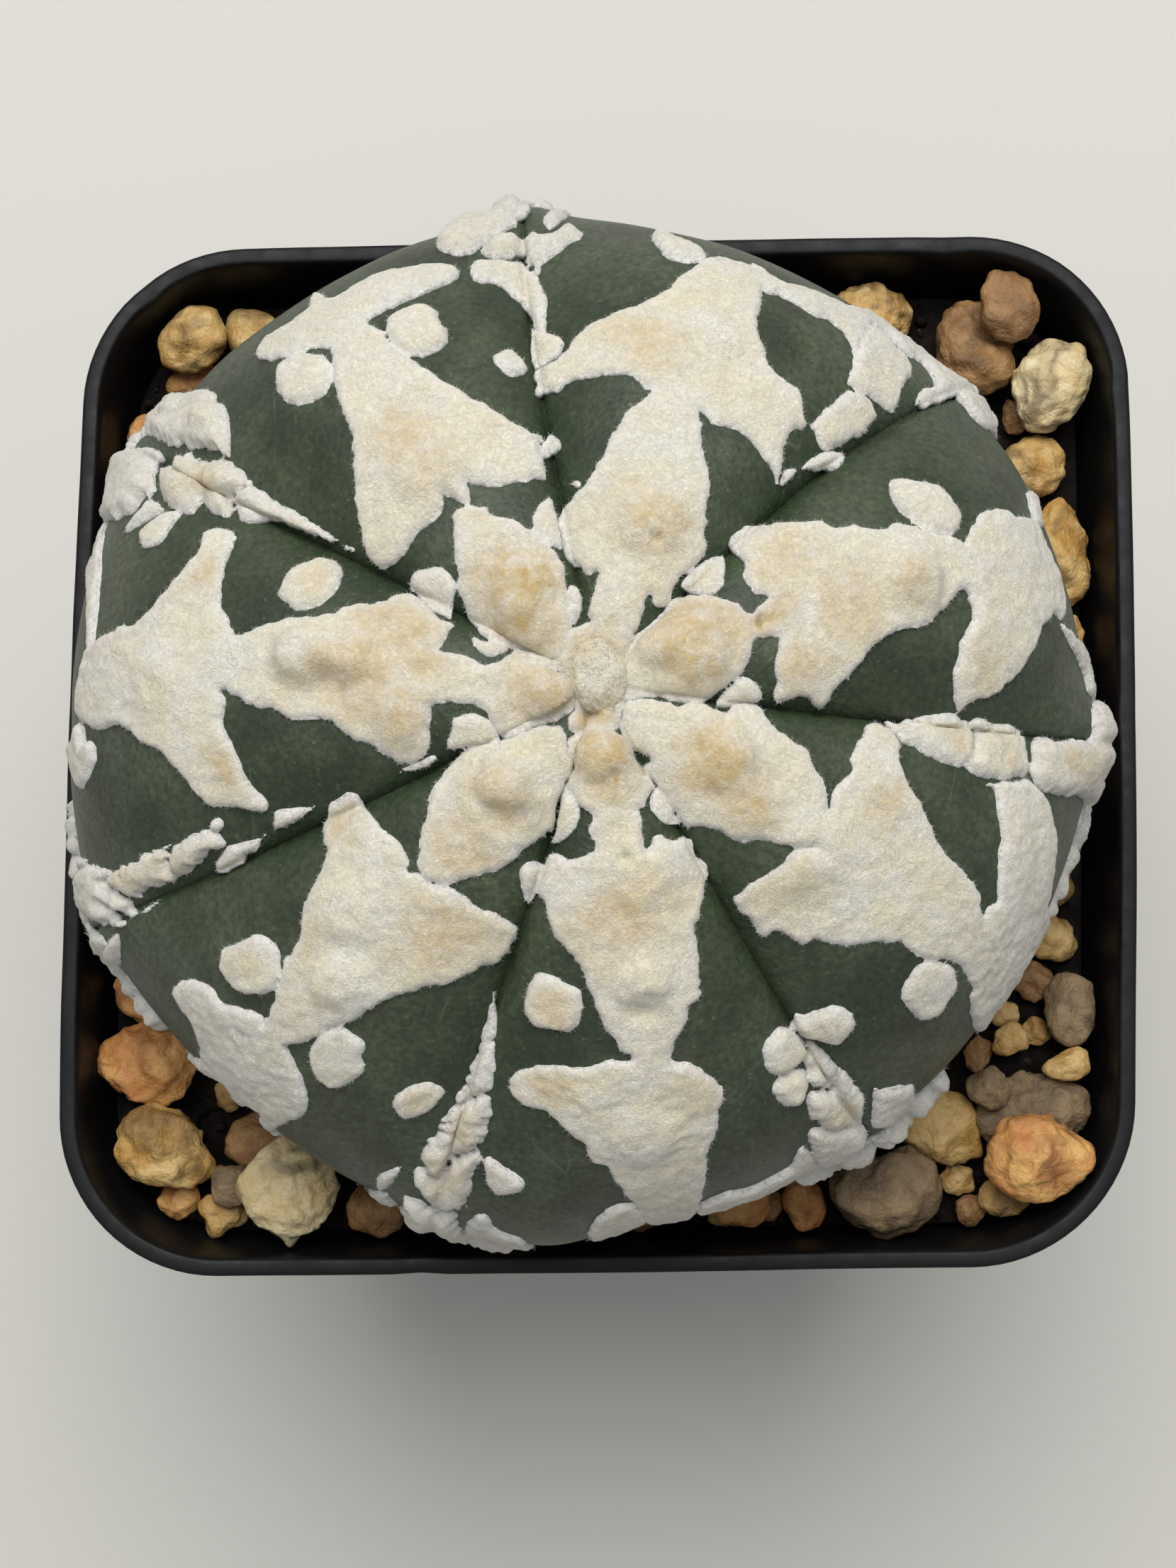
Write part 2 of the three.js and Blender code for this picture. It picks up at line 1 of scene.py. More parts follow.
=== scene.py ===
"""Potted star cactus: white wool on a dark green dome, in a square black nursery pot of gravel.

Shapes are worked out in millimetres and turned into metres when a mesh is made. Outlines and
spots picked from the photograph are pixels of its 1659 by 2212 frame, brought onto the plant
along the camera's own rays.
"""

import json
import logging
import math
from collections.abc import Sequence
from dataclasses import dataclass, field
from enum import Enum

import bmesh
import bpy
import numpy as np
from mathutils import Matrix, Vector
from mathutils.bvhtree import BVHTree


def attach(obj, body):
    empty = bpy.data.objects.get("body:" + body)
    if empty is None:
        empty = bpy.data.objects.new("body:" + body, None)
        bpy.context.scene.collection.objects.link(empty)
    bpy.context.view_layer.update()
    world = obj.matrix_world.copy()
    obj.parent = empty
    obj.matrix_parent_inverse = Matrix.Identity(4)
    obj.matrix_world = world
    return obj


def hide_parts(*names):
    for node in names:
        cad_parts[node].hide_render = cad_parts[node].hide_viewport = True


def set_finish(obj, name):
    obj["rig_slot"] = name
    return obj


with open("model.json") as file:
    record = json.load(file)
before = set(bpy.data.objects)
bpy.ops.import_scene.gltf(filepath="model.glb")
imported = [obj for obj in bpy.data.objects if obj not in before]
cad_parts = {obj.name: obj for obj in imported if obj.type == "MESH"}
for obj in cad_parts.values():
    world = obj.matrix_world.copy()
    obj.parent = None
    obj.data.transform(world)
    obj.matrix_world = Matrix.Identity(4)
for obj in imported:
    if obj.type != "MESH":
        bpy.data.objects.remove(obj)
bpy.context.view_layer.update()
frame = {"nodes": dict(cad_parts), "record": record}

MM = 0.001
BODY = "root"
PHOTO_WIDTH, PHOTO_HEIGHT = 1659, 2212

Pair = tuple[float, float]
Pixel = tuple[float, float]
Place = tuple[float, float, float]
Colour = tuple[float, float, float]
Value = float | Sequence[float] | bpy.types.NodeSocket
log = logging.getLogger("potted_star_cactus")


def srgb(red: int, green: int, blue: int) -> Colour:
    """Turns a colour read from a picture, 0 to 255, into linear light.

    Args:
        red: Red value.
        green: Green value.
        blue: Blue value.

    Returns:
        The linear colour, 0 to 1.
    """
    knee = 0.04045
    parts = (red / 255, green / 255, blue / 255)
    return tuple(c / 12.92 if c <= knee else ((c + 0.055) / 1.055) ** 2.4 for c in parts)


def smoothstep(low: float, high: float, x: np.ndarray) -> np.ndarray:
    """Rises smoothly from 0 at low to 1 at high.

    Args:
        low: Where the rise starts.
        high: Where it ends.
        x: Values to turn.

    Returns:
        One value from 0 to 1 for each x.
    """
    t = np.clip((x - low) / (high - low), 0.0, 1.0)
    return t * t * (3 - 2 * t)


def mix(a: float, b: float, t: np.ndarray) -> np.ndarray:
    """Goes straight from a at t = 0 to b at t = 1.

    Args:
        a: First value.
        b: Last value.
        t: Share of the way.

    Returns:
        The mixed values.
    """
    return a + (b - a) * t


def unit(rows: np.ndarray) -> np.ndarray:
    """Brings each row to a length of 1."""
    return rows / np.maximum(np.linalg.norm(rows, axis=1), 1e-9)[:, None]


def at_height_0(points: np.ndarray) -> np.ndarray:
    """Adds a height of 0 to rows of x, y."""
    return np.column_stack([points, np.zeros(len(points))])


def laid_flat(way: np.ndarray, bearing: np.ndarray) -> np.ndarray:
    """Lays places of the plant's surface out round its crown, as rows of x, y in one plane."""
    return np.stack([way * np.cos(bearing), way * np.sin(bearing)], axis=1)


def back_on_plant(points: np.ndarray) -> tuple[np.ndarray, np.ndarray]:
    """Gives the ways and the bearings of points of that plane."""
    return np.hypot(points[:, 0], points[:, 1]), np.arctan2(points[:, 1], points[:, 0])


@dataclass(frozen=True)
class Noise:
    """Smooth random values in space, the same at each run."""

    size: float
    seed: int
    octaves: int = 1

    def _corner(self, cell: np.ndarray, octave: int) -> np.ndarray:
        """Gives one random value from -1 to 1 to each lattice corner.

        Args:
            cell: Whole-number corners, one row each.
            octave: Which octave the corners belong to.

        Returns:
            One value for each corner.
        """
        mask = 0xFFFFFFFF
        mixed = cell[:, 0] * 374761393 + cell[:, 1] * 668265263 + cell[:, 2] * 1442695041
        mixed = (mixed + (self.seed * 7919 + octave * 104729) * 9781) & mask
        mixed = ((mixed ^ (mixed >> 13)) * 1274126177) & mask
        return (mixed ^ (mixed >> 16)) / (mask / 2) - 1

    def at(self, points: np.ndarray) -> np.ndarray:
        """Reads the noise at points in space.

        Args:
            points: Rows of x, y, z in millimetres.

        Returns:
            One value for each point, about -1 to 1.
        """
        total = np.zeros(len(points))
        strength, size = 1.0, self.size
        for octave in range(self.octaves):
            place = points / size
            cell = np.floor(place).astype(np.int64)
            t = place - cell
            t = t * t * (3 - 2 * t)
            for corner in range(8):
                step = np.array([corner & 1, corner >> 1 & 1, corner >> 2 & 1])
                weight = np.prod(np.where(step == 1, t, 1 - t), axis=1)
                total += strength * weight * self._corner(cell + step, octave)
            strength, size = strength * 0.5, size * 0.5
        return total


def make_piece(
    name: str,
    points: np.ndarray,
    faces: Sequence[np.ndarray],
    slot: str,
    stands_for: Sequence[str] = (),
    marks: dict[str, np.ndarray] | None = None,
) -> bpy.types.Object:
    """Makes one mesh piece of the potted plant and tells the frame what it is.

    Args:
        name: Name of the piece.
        points: Rows of x, y, z in millimetres.
        faces: Arrays of corner numbers, each with faces of one corner count.
        slot: Material slot of the record.
        stands_for: CAD nodes that the piece replaces.
        marks: One value for each point, by attribute name, for the material.

    Returns:
        The new object.
    """
    mesh = bpy.data.meshes.new(name)
    corners = [row for block in faces for row in np.asarray(block).tolist()]
    mesh.from_pydata((np.asarray(points) * MM).tolist(), [], corners)
    mesh.polygons.foreach_set("use_smooth", [True] * len(mesh.polygons))
    for mark, values in (marks or {}).items():
        attribute = mesh.attributes.new(mark, "FLOAT", "POINT")
        attribute.data.foreach_set("value", np.asarray(values, np.float32))
    mesh.update()
    piece = bpy.data.objects.new(name, mesh)
    bpy.context.scene.collection.objects.link(piece)
    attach(piece, BODY)
    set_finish(piece, slot)
    if stands_for:
        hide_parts(*stands_for)
    return piece


def ring_faces(rings: int, around: int, first_cap: int, last_cap: int) -> list[np.ndarray]:
    """Joins a stack of closed rings into a skin with a cap point at each end.

    Args:
        rings: How many rings there are, numbered from point 0.
        around: Points in each ring.
        first_cap: Number of the cap point at the first ring.
        last_cap: Number of the cap point at the last ring.

    Returns:
        The quads between the rings, and the triangles of the two caps.
    """
    i = np.arange(around)
    j = (i + 1) % around
    start = (np.arange(rings - 1) * around)[:, None]
    quads = np.stack([start + i, start + j, start + around + j, start + around + i], axis=2)
    last = (rings - 1) * around
    caps = [
        np.stack([np.full(around, first_cap), j, i], axis=1),
        np.stack([np.full(around, last_cap), last + i, last + j], axis=1),
    ]
    return [quads.reshape(-1, 4), np.concatenate(caps)]


@dataclass(frozen=True)
class Photograph:
    """The camera that took the photograph, almost straight down on the crown."""

    place: Place = (1.0, -16.7, 220.0)
    tilt: float = math.radians(5.24)
    pan: float = math.radians(0.68)
    lens: float = 54.0
    sensor: float = 36.0

    def turn(self) -> np.ndarray:
        """Works out how the camera is turned.

        Returns:
            Its rotation as a 3 by 3 matrix.
        """
        ct, st, cp, sp = math.cos(self.tilt), math.sin(self.tilt), math.cos(self.pan), math.sin(self.pan)
        about_x = np.array([[1, 0, 0], [0, ct, -st], [0, st, ct]])
        about_y = np.array([[cp, 0, sp], [0, 1, 0], [-sp, 0, cp]])
        return about_x @ about_y

    def rays(self, pixels: np.ndarray) -> np.ndarray:
        """Gives the direction in which each pixel of the photograph looks.

        Args:
            pixels: Rows of x, y in the photograph's own frame.

        Returns:
            Rows of unit directions.
        """
        focal = self.lens / self.sensor * PHOTO_HEIGHT
        across = (pixels[:, 0] - PHOTO_WIDTH / 2) / focal
        up = (PHOTO_HEIGHT / 2 - pixels[:, 1]) / focal
        ahead = np.stack([across, up, -np.ones(len(pixels))], axis=1) @ self.turn().T
        return unit(ahead)

    def set_up(self) -> None:
        """Puts Blender's camera where the photograph was taken from."""
        data = bpy.data.cameras.new("photograph")
        data.lens, data.sensor_width, data.sensor_fit = self.lens, self.sensor, "AUTO"
        data.clip_start, data.clip_end = 0.01, 10
        camera = bpy.data.objects.new("photograph", data)
        camera.location = Vector(self.place) * MM
        camera.rotation_euler = (self.tilt, self.pan, 0)
        bpy.context.scene.collection.objects.link(camera)
        bpy.context.scene.camera = camera


@dataclass(frozen=True)
class PlantShape:
    """The plant's surface: a leaning dome with seven grooves, its underside and its root.

    A place on it is given by its way down the meridian from the crown, in millimetres, and by
    its bearing round the plant from +X, in radians.
    """

    equator_radius: float = 32.4
    equator_z: float = 71.5
    equator_middle: Pair = (-1.55, 1.05)
    crown_z: float = 91.5
    crown_middle: Pair = (0.1, 0.6)
    crown_dip: float = 0.8
    dip_width: float = 4.0
    bulge: float = 0.92
    flatness: float = 0.95
    dome_steps: int = 160
    groove_depth: float = 2.7
    groove_start: float = 0.28
    groove_fill: float = 2.2
    groove_sharpness: float = 2.6
    soil_fade: Pair = (57.0, 68.0)
    ridge_rise: float = 0.7
    ridge_spread: float = 2.0
    crease_depth: float = 0.55
    crease_width: float = 0.4
    crease_start: Pair = (3.0, 9.0)
    grooves_at_crown: tuple[float, ...] = (-61, -7, 48, 102, 152, 207, 252)
    grooves_at_equator: tuple[float, ...] = (-55, -3, 38, 95, 149, 204, 255)
    corners: tuple[float, ...] = (-0.4, 0.8, 0.0, 0.6, 0.6, 0.7, 0.4)
    sinks: tuple[float, ...] = (0.7, 0.6, 1.35, 0.7, 0.7, 0.7, 0.85)
    shoulder_bearing: float = -93.3
    shoulder_spread: float = 7.0
    shoulder_rise: float = 1.2
    underside: tuple[Pair, ...] = (
        (31.9, 68.2), (30.4, 65.0), (27.9, 61.8), (24.4, 58.9), (19.6, 56.2), (14.0, 53.6), (9.4, 50.2),
        (6.2, 45.6), (3.8, 40.0), (2.0, 35.4),
    )
    root_tip: float = 34.4

    def __post_init__(self) -> None:
        """Works out the meridian once: every value of a ring against the way from the crown."""
        u = np.linspace(0, 1, self.dome_steps + 1)
        angle = u * math.pi / 2
        radius = self.equator_radius * np.sin(angle) ** self.bulge
        height = np.clip(np.cos(angle), 0, 1) ** self.flatness
        dip = self.crown_dip * np.exp(-((radius / self.dip_width) ** 2))
        z = mix(self.equator_z, self.crown_z, height) - dip
        square = smoothstep(0.55, 1, u)
        depth = self.groove_depth * (1 - np.exp(-u / self.groove_start)) - self.groove_fill * square
        ridge = self.ridge_rise * smoothstep(0.45, 0.95, u)
        below = np.array([(self.equator_radius, self.equator_z), *self.underside])
        leg = np.linspace(0, len(below) - 1, 8 * (len(below) - 1) + 1)[1:]
        under = smooth_through(below, leg)
        fade = smoothstep(*self.soil_fade, under[:, 1])
        table = {
            "u": np.concatenate([u, np.ones(len(under))]),
            "radius": np.concatenate([radius, under[:, 0]]),
            "z": np.concatenate([z, under[:, 1]]),
            "lean": np.concatenate([height**2, np.zeros(len(under))]),
            "depth": np.concatenate([depth, (self.groove_depth - self.groove_fill) * fade]),
            "ridge": np.concatenate([ridge, self.ridge_rise * fade]),
            "square": np.concatenate([square, fade]),
        }
        steps = np.hypot(np.diff(table["radius"]), np.diff(table["z"]))
        way = np.concatenate([[0], np.cumsum(steps)])
        out, up = -np.gradient(table["z"], way), np.gradient(table["radius"], way)
        length = np.hypot(out, up)
        table["way"], table["out"], table["up"] = way, out / length, up / length
        object.__setattr__(self, "table", table)

    def read(self, name: str, way: np.ndarray) -> np.ndarray:
        """Reads one value of the meridian's table at places down it."""
        return np.interp(way, self.table["way"], self.table[name])

    def groove_bearings(self, way: np.ndarray) -> np.ndarray:
        """Gives the bearings of the seven grooves, and of the first again, at places down the meridian.

        Args:
            way: Ways down the meridian.

        Returns:
            One row of bearings for each way.
        """
        u = self.read("u", way)[:, None]
        crown = np.radians(np.append(self.grooves_at_crown, self.grooves_at_crown[0] + 360))
        equator = np.radians(np.append(self.grooves_at_equator, self.grooves_at_equator[0] + 360))
        return mix(crown[None, :], equator[None, :], u)

    def across_rib(self, way: np.ndarray, bearing: np.ndarray) -> tuple[np.ndarray, np.ndarray, np.ndarray]:
        """Finds where places lie between the two grooves beside them.

        Args:
            way: Ways down the meridian.
            bearing: Bearings of the places.

        Returns:
            The share of the way across the rib, the rib's width in radians and its number.
        """
        grooves = self.groove_bearings(way)
        past = np.mod(bearing[:, None] - grooves[:, :-1], 2 * math.pi)
        rib = np.argmin(past, axis=1)
        rows = np.arange(len(way))
        width = grooves[rows, rib + 1] - grooves[rows, rib]
        return np.clip(past[rows, rib] / width, 0, 1), width, rib

    def from_groove(self, way: np.ndarray, bearing: np.ndarray) -> np.ndarray:
        """Gives the distance of places to the nearest groove, in millimetres along the surface."""
        share, width, _ = self.across_rib(way, bearing)
        return np.minimum(share, 1 - share) * width * self.read("radius", way)

    def place(
        self, way: np.ndarray, bearing: np.ndarray, lift: np.ndarray | float = 0.0, creased: bool = False
    ) -> np.ndarray:
        """Gives the points of the surface at places on it.

        Args:
            way: Ways down the meridian from the crown.
            bearing: Bearings of the places.
            lift: Height above the surface, along the meridian's normal.
            creased: Whether the sharp fold at the bottom of each groove counts too.

        Returns:
            Rows of x, y, z in millimetres.
        """
        share, width, rib = self.across_rib(way, bearing)
        radius = self.read("radius", way)
        near = np.minimum(share, 1 - share) * width * radius
        side = np.abs(2 * share - 1)
        ridge = self.read("ridge", way) * np.exp(-((near / self.ridge_spread) ** 2))
        corner = np.array(self.corners)[(rib + (share >= 0.5)) % len(self.corners)]
        heptagon = self.read("square", way) * mix(-np.array(self.sinks)[rib], corner, side**2)
        turned = np.cos(bearing - math.radians(self.shoulder_bearing)) - 1
        shoulder = self.shoulder_rise * np.exp(2 * turned / math.radians(self.shoulder_spread) ** 2)
        heptagon += self.read("square", way) * shoulder
        rise = ridge + heptagon - self.read("depth", way) * side**self.groove_sharpness + lift
        if creased:
            begun = smoothstep(*self.crease_start, way)
            rise = rise - self.crease_depth * np.exp(-near / self.crease_width) * begun
        out = radius + self.read("out", way) * rise
        lean = self.read("lean", way)
        x = mix(self.equator_middle[0], self.crown_middle[0], lean) + out * np.cos(bearing)
        y = mix(self.equator_middle[1], self.crown_middle[1], lean) + out * np.sin(bearing)
        return np.stack([x, y, self.read("z", way) + self.read("up", way) * rise], axis=1)

    def normal(self, way: np.ndarray, bearing: np.ndarray) -> np.ndarray:
        """Gives the outward normals of the grooved surface at places on it.

        Args:
            way: Ways down the meridian.
            bearing: Bearings of the places.

        Returns:
            Rows of unit directions.
        """
        step = 0.3
        turn = step / np.maximum(self.read("radius", way), 0.6)
        down = self.place(way + step, bearing) - self.place(np.maximum(way - step, 0.01), bearing)
        along = self.place(way, bearing + turn) - self.place(way, bearing - turn)
        return unit(np.cross(down, along))

    @property
    def equator_way(self) -> float:
        """The way down the meridian at which the plant is widest."""
        return float(self.table["way"][self.dome_steps])


def smooth_through(points: np.ndarray, at: np.ndarray, closed: bool = False) -> np.ndarray:
    """Follows a smooth line through points.

    Args:
        points: Rows of coordinates.
        at: Where along the line, as point numbers with fractions.
        closed: Whether the line runs back to its first point.

    Returns:
        One row of coordinates for each value of at.
    """
    count = len(points)
    first = np.floor(at).astype(int)
    if not closed:
        first = np.minimum(first, count - 2)
    t = (at - first)[:, None]
    if closed:
        a, b, c, d = (points[(first + k) % count] for k in (-1, 0, 1, 2))
    else:
        a, b, c, d = (points[np.clip(first + k, 0, count - 1)] for k in (-1, 0, 1, 2))
    straight = b + (c - b) * t
    second, third = 2 * a - 5 * b + 4 * c - d, 3 * b - a - 3 * c + d
    curved = 0.5 * (2 * b + (c - a) * t + second * t**2 + third * t**3)
    return 0.25 * straight + 0.75 * curved


@dataclass
class CactusSkin:
    """The plant's dark green skin, with its grooves, from crown to root."""

    shape: PlantShape
    columns_per_rib: int = 44
    fine_step: float = 0.42
    coarse_step: float = 2.2
    fine_below_equator: float = 14.5
    first_way: float = 0.3
    waviness: Noise = Noise(size=5.5, seed=11, octaves=2)
    wave_height: float = 0.13
    wave_limit: float = 0.1
    groove_tint: float = 2.2
    piece: bpy.types.Object | None = None

    def build(self) -> bpy.types.Object:
        """Builds the skin as rings that follow the grooves.

        Returns:
            The new piece.
        """
        shape = self.shape
        turn_line = shape.equator_way + self.fine_below_equator
        end = float(shape.table["way"][-1])
        fine = np.arange(self.first_way, turn_line, self.fine_step)
        ways = np.concatenate([fine, np.arange(turn_line, end, self.coarse_step)])
        share = 0.5 - 0.5 * np.cos(np.pi * np.arange(self.columns_per_rib) / self.columns_per_rib)
        grooves = shape.groove_bearings(ways)
        bearings = grooves[:, :-1, None] + np.diff(grooves, axis=1)[:, :, None] * share
        bearings = bearings.reshape(len(ways), -1)
        around = bearings.shape[1]
        way, bearing = np.repeat(ways, around), bearings.ravel()
        flat = shape.place(way, bearing)
        lift = self.wave_height * self.waviness.at(flat) * smoothstep(1.5, 6, way)
        points = shape.place(way, bearing, np.minimum(lift, self.wave_limit), creased=True)
        crown = [(*shape.crown_middle, shape.crown_z - shape.crown_dip)]
        tip = [(*shape.equator_middle, shape.root_tip)]
        points = np.concatenate([points, crown, tip])
        faces = ring_faces(len(ways), around, len(points) - 2, len(points) - 1)
        near = np.append(np.exp(-shape.from_groove(way, bearing) / self.groove_tint), [1.0, 0.0])
        # flank mark: low on the plant, where the finish lays a grey cast of wax together with a painted sheen
        flank = np.append(smoothstep(0.45, 1.05, way / shape.equator_way), [0.0, 1.0])
        marks = {"near_groove": near, "flank": flank}
        self.piece = make_piece("cactus_skin", points, faces, "cactus_skin", ["cactus_body"], marks)
        return self.piece

    def tree(self) -> BVHTree:
        """Gives the skin as a tree that rays can be cast on, in millimetres."""
        corners = [v.co / MM for v in self.piece.data.vertices]
        return BVHTree.FromPolygons(corners, [tuple(p.vertices) for p in self.piece.data.polygons])


@dataclass(frozen=True)
class Mapper:
    """Brings pixels of the photograph onto the plant."""

    photograph: Photograph
    shape: PlantShape
    tree: BVHTree
    lowest_seen: float = 6.0
    level_reach: float = 26.0
    rounds: int = 14

    def to_surface(self, pixels: np.ndarray) -> np.ndarray:
        """Finds the points of the plant that pixels show; one just beside it gets the nearest point.

        Args:
            pixels: Rows of x, y in the photograph's frame.

        Returns:
            Rows of x, y, z in millimetres.
        """
        origin = Vector(self.photograph.place)
        found = []
        for ray in self.photograph.rays(pixels):
            direction = Vector(ray)
            hit = self.tree.ray_cast(origin, direction)[0]
            if hit is None or hit.z < self.shape.equator_z - self.lowest_seen:
                beside = origin + direction * ((self.shape.equator_z + 2 - origin.z) / direction.z)
                hit = self.tree.find_nearest(beside)[0]
            found.append(tuple(hit))
        return np.array(found)

    def to_place(self, points: np.ndarray) -> tuple[np.ndarray, np.ndarray]:
        """Turns points on the plant into ways down the meridian and bearings.

        Args:
            points: Rows of x, y, z on or near the surface.

        Returns:
            The ways and the bearings.
        """
        shape = self.shape
        table = shape.table
        dome = table["way"] <= shape.equator_way + self.lowest_seen
        steep = np.interp(-points[:, 2], -table["z"][dome], table["way"][dome])
        reach = np.hypot(points[:, 0] - shape.crown_middle[0], points[:, 1] - shape.crown_middle[1])
        level = np.interp(reach, table["radius"][table["u"] < 1], table["way"][table["u"] < 1])
        way = np.where(reach < self.level_reach, level, steep)
        for _ in range(self.rounds):
            lean = shape.read("lean", way)
            x = points[:, 0] - mix(shape.equator_middle[0], shape.crown_middle[0], lean)
            y = points[:, 1] - mix(shape.equator_middle[1], shape.crown_middle[1], lean)
            bearing = np.arctan2(y, x)
            outward, drop = shape.read("up", way), shape.read("out", way)
            down = np.stack([outward * np.cos(bearing), outward * np.sin(bearing), -drop], axis=1)
            missed = np.sum((points - shape.place(way, bearing)) * down, axis=1)
            way = np.clip(way + 0.8 * missed, 0.05, shape.equator_way + 20)
        return way, bearing

    def to_plane(self, pixels: Sequence[Pixel]) -> np.ndarray:
        """Turns pixels into points of the plane in which the plant's surface is laid flat."""
        return laid_flat(*self.to_place(self.to_surface(np.array(pixels, float))))


class WoolKind(Enum):
    """How a patch of wool lies: its thickness in millimetres, and how wide its rounded edge is."""

    PAD = (0.40, 0.14)
    TUFT = (0.50, 0.19)
    CHUNK = (0.74, 0.26)
    PLUME = (0.86, 0.34)
    TASSEL = (1.45, 0.45)


PAD, TUFT, CHUNK, PLUME, TASSEL = WoolKind


@dataclass(frozen=True)
class Patch:
    """One patch of wool, as its outline in pixels of the photograph."""

    name: str
    kind: WoolKind
    outline: tuple[Pixel, ...]

    def unrolled(self, mapper: Mapper) -> np.ndarray:
        """Smooths the outline between its picked points and lays it flat.

        Args:
            mapper: What brings pixels onto the plant.

        Returns:
            Rows of x, y round the outline.
        """
        picked = np.array(self.outline, float)
        along = np.arange(0, len(picked), 0.34)
        return mapper.to_plane(smooth_through(picked, along, closed=True))


@dataclass(frozen=True)
class FlankTuft:
    """One tuft of wool low on the plant: bearing and turn in degrees, the rest in millimetres."""

    bearing: float
    below: float
    wide: float
    tall: float
    turn: float
    kind: WoolKind

    def unrolled(self, mapper: Mapper) -> np.ndarray:
        """Draws the tuft's oval outline and lays it flat.

        Args:
            mapper: What knows the plant's shape.

        Returns:
            Rows of x, y round the outline.
        """
        shape = mapper.shape
        round_it = np.linspace(0, 2 * math.pi, 28, endpoint=False)
        x, y = self.wide / 2 * np.cos(round_it), self.tall / 2 * np.sin(round_it)
        lean = math.radians(self.turn)
        way = shape.equator_way + self.below + x * math.sin(lean) + y * math.cos(lean)
        around = (x * math.cos(lean) - y * math.sin(lean)) / shape.read("radius", way)
        return laid_flat(way, math.radians(self.bearing) + around)


# Loose fringes that stand out past the plant's outline in the photograph, by the rib they grow on:
# bearings from and to in degrees, and millimetres below the equator.
FRINGES = {
    0: ((-56.0, -44.0, 0.4), (-24.0, -6.0, 1.1)),
    3: ((143.0, 148.0, 1.2),),
    4: ((190.0, 200.0, 0.8),),
    5: ((205.0, 216.5, 1.1),),
    6: ((256.5, 263.0, 0.9), (297.0, 307.5, 0.6)),
}


@dataclass(frozen=True)
class FlankWool:
    """The wool below the plant's widest part: areoles down each rib, tufts along each groove."""

    shape: PlantShape
    areoles_below: tuple[float, ...] = (3.4, 8.2, 12.6)
    pairs_below: tuple[float, ...] = (-0.6, 1.5, 3.5, 5.6, 7.6, 9.8, 12.2)
    loose_tufts: int = 5
    deepest: float = 15.0
    fringe_step: float = 1.2
    cell: float = 0.26
    fibres: float = 1.8
    seed: int = 23

    def on_rib(self, rib: int) -> tuple[FlankTuft, ...]:
        """Picks the tufts of one rib and of the groove at its end.

        Args:
            rib: Number of the rib.

        Returns:
            The tufts.
        """
        random = np.random.default_rng(self.seed + rib)
        grooves = [*self.shape.grooves_at_equator, self.shape.grooves_at_equator[0] + 360]
        low, high = grooves[rib], grooves[rib + 1]
        middle = (low + high) / 2 + random.uniform(-1.5, 1.5)
        tufts = []
        for areole in self.areoles_below:
            below = areole + random.uniform(-0.7, 0.7)
            centre = middle + random.uniform(-1.2, 1.2)
            wide, tall = random.uniform(2.3, 3.9), random.uniform(1.9, 3.0)
            tufts.append(FlankTuft(centre, below, wide, tall, 0, TUFT))
            for side in (-1, 1):
                arm, broad = random.uniform(2.6, 5.4), random.uniform(0.9, 1.9)
                lean = side * random.uniform(14, 48)
                away = side * (1.6 + 0.66 * arm)
                tufts.append(FlankTuft(centre + away, below - 0.25 * arm, arm, broad, -lean, PAD))
        for _ in range(self.loose_tufts):
            place = random.uniform(low + 8, high - 8)
            below = random.uniform(0.5, self.deepest)
            wide = random.uniform(0.9, 2.0)
            tall = wide * random.uniform(0.6, 0.9)
            tufts.append(FlankTuft(place, below, wide, tall, random.uniform(0, 90), TUFT))
        for pair in self.pairs_below:
            for side in (-1, 1):
                away = side * random.uniform(0.9, 2.4)
                below = pair + random.uniform(-0.6, 0.6)
                size, broad = random.uniform(1.2, 3.1), random.uniform(0.9, 1.7)
                lean = side * random.uniform(8, 56)
                tufts.append(FlankTuft(high + away, below, size, broad, lean, CHUNK))
        for start, end, below in FRINGES.get(rib, ()):
            for bearing in np.arange(start, end, self.fringe_step):
                deep = below + random.uniform(-0.8, 0.6)
                wide, tall = random.uniform(1.2, 2.4), random.uniform(1.8, 3.2)
                lean = random.uniform(-40, 40)
                tufts.append(FlankTuft(bearing, deep, wide, tall, lean, TASSEL))
        return tuple(tufts)


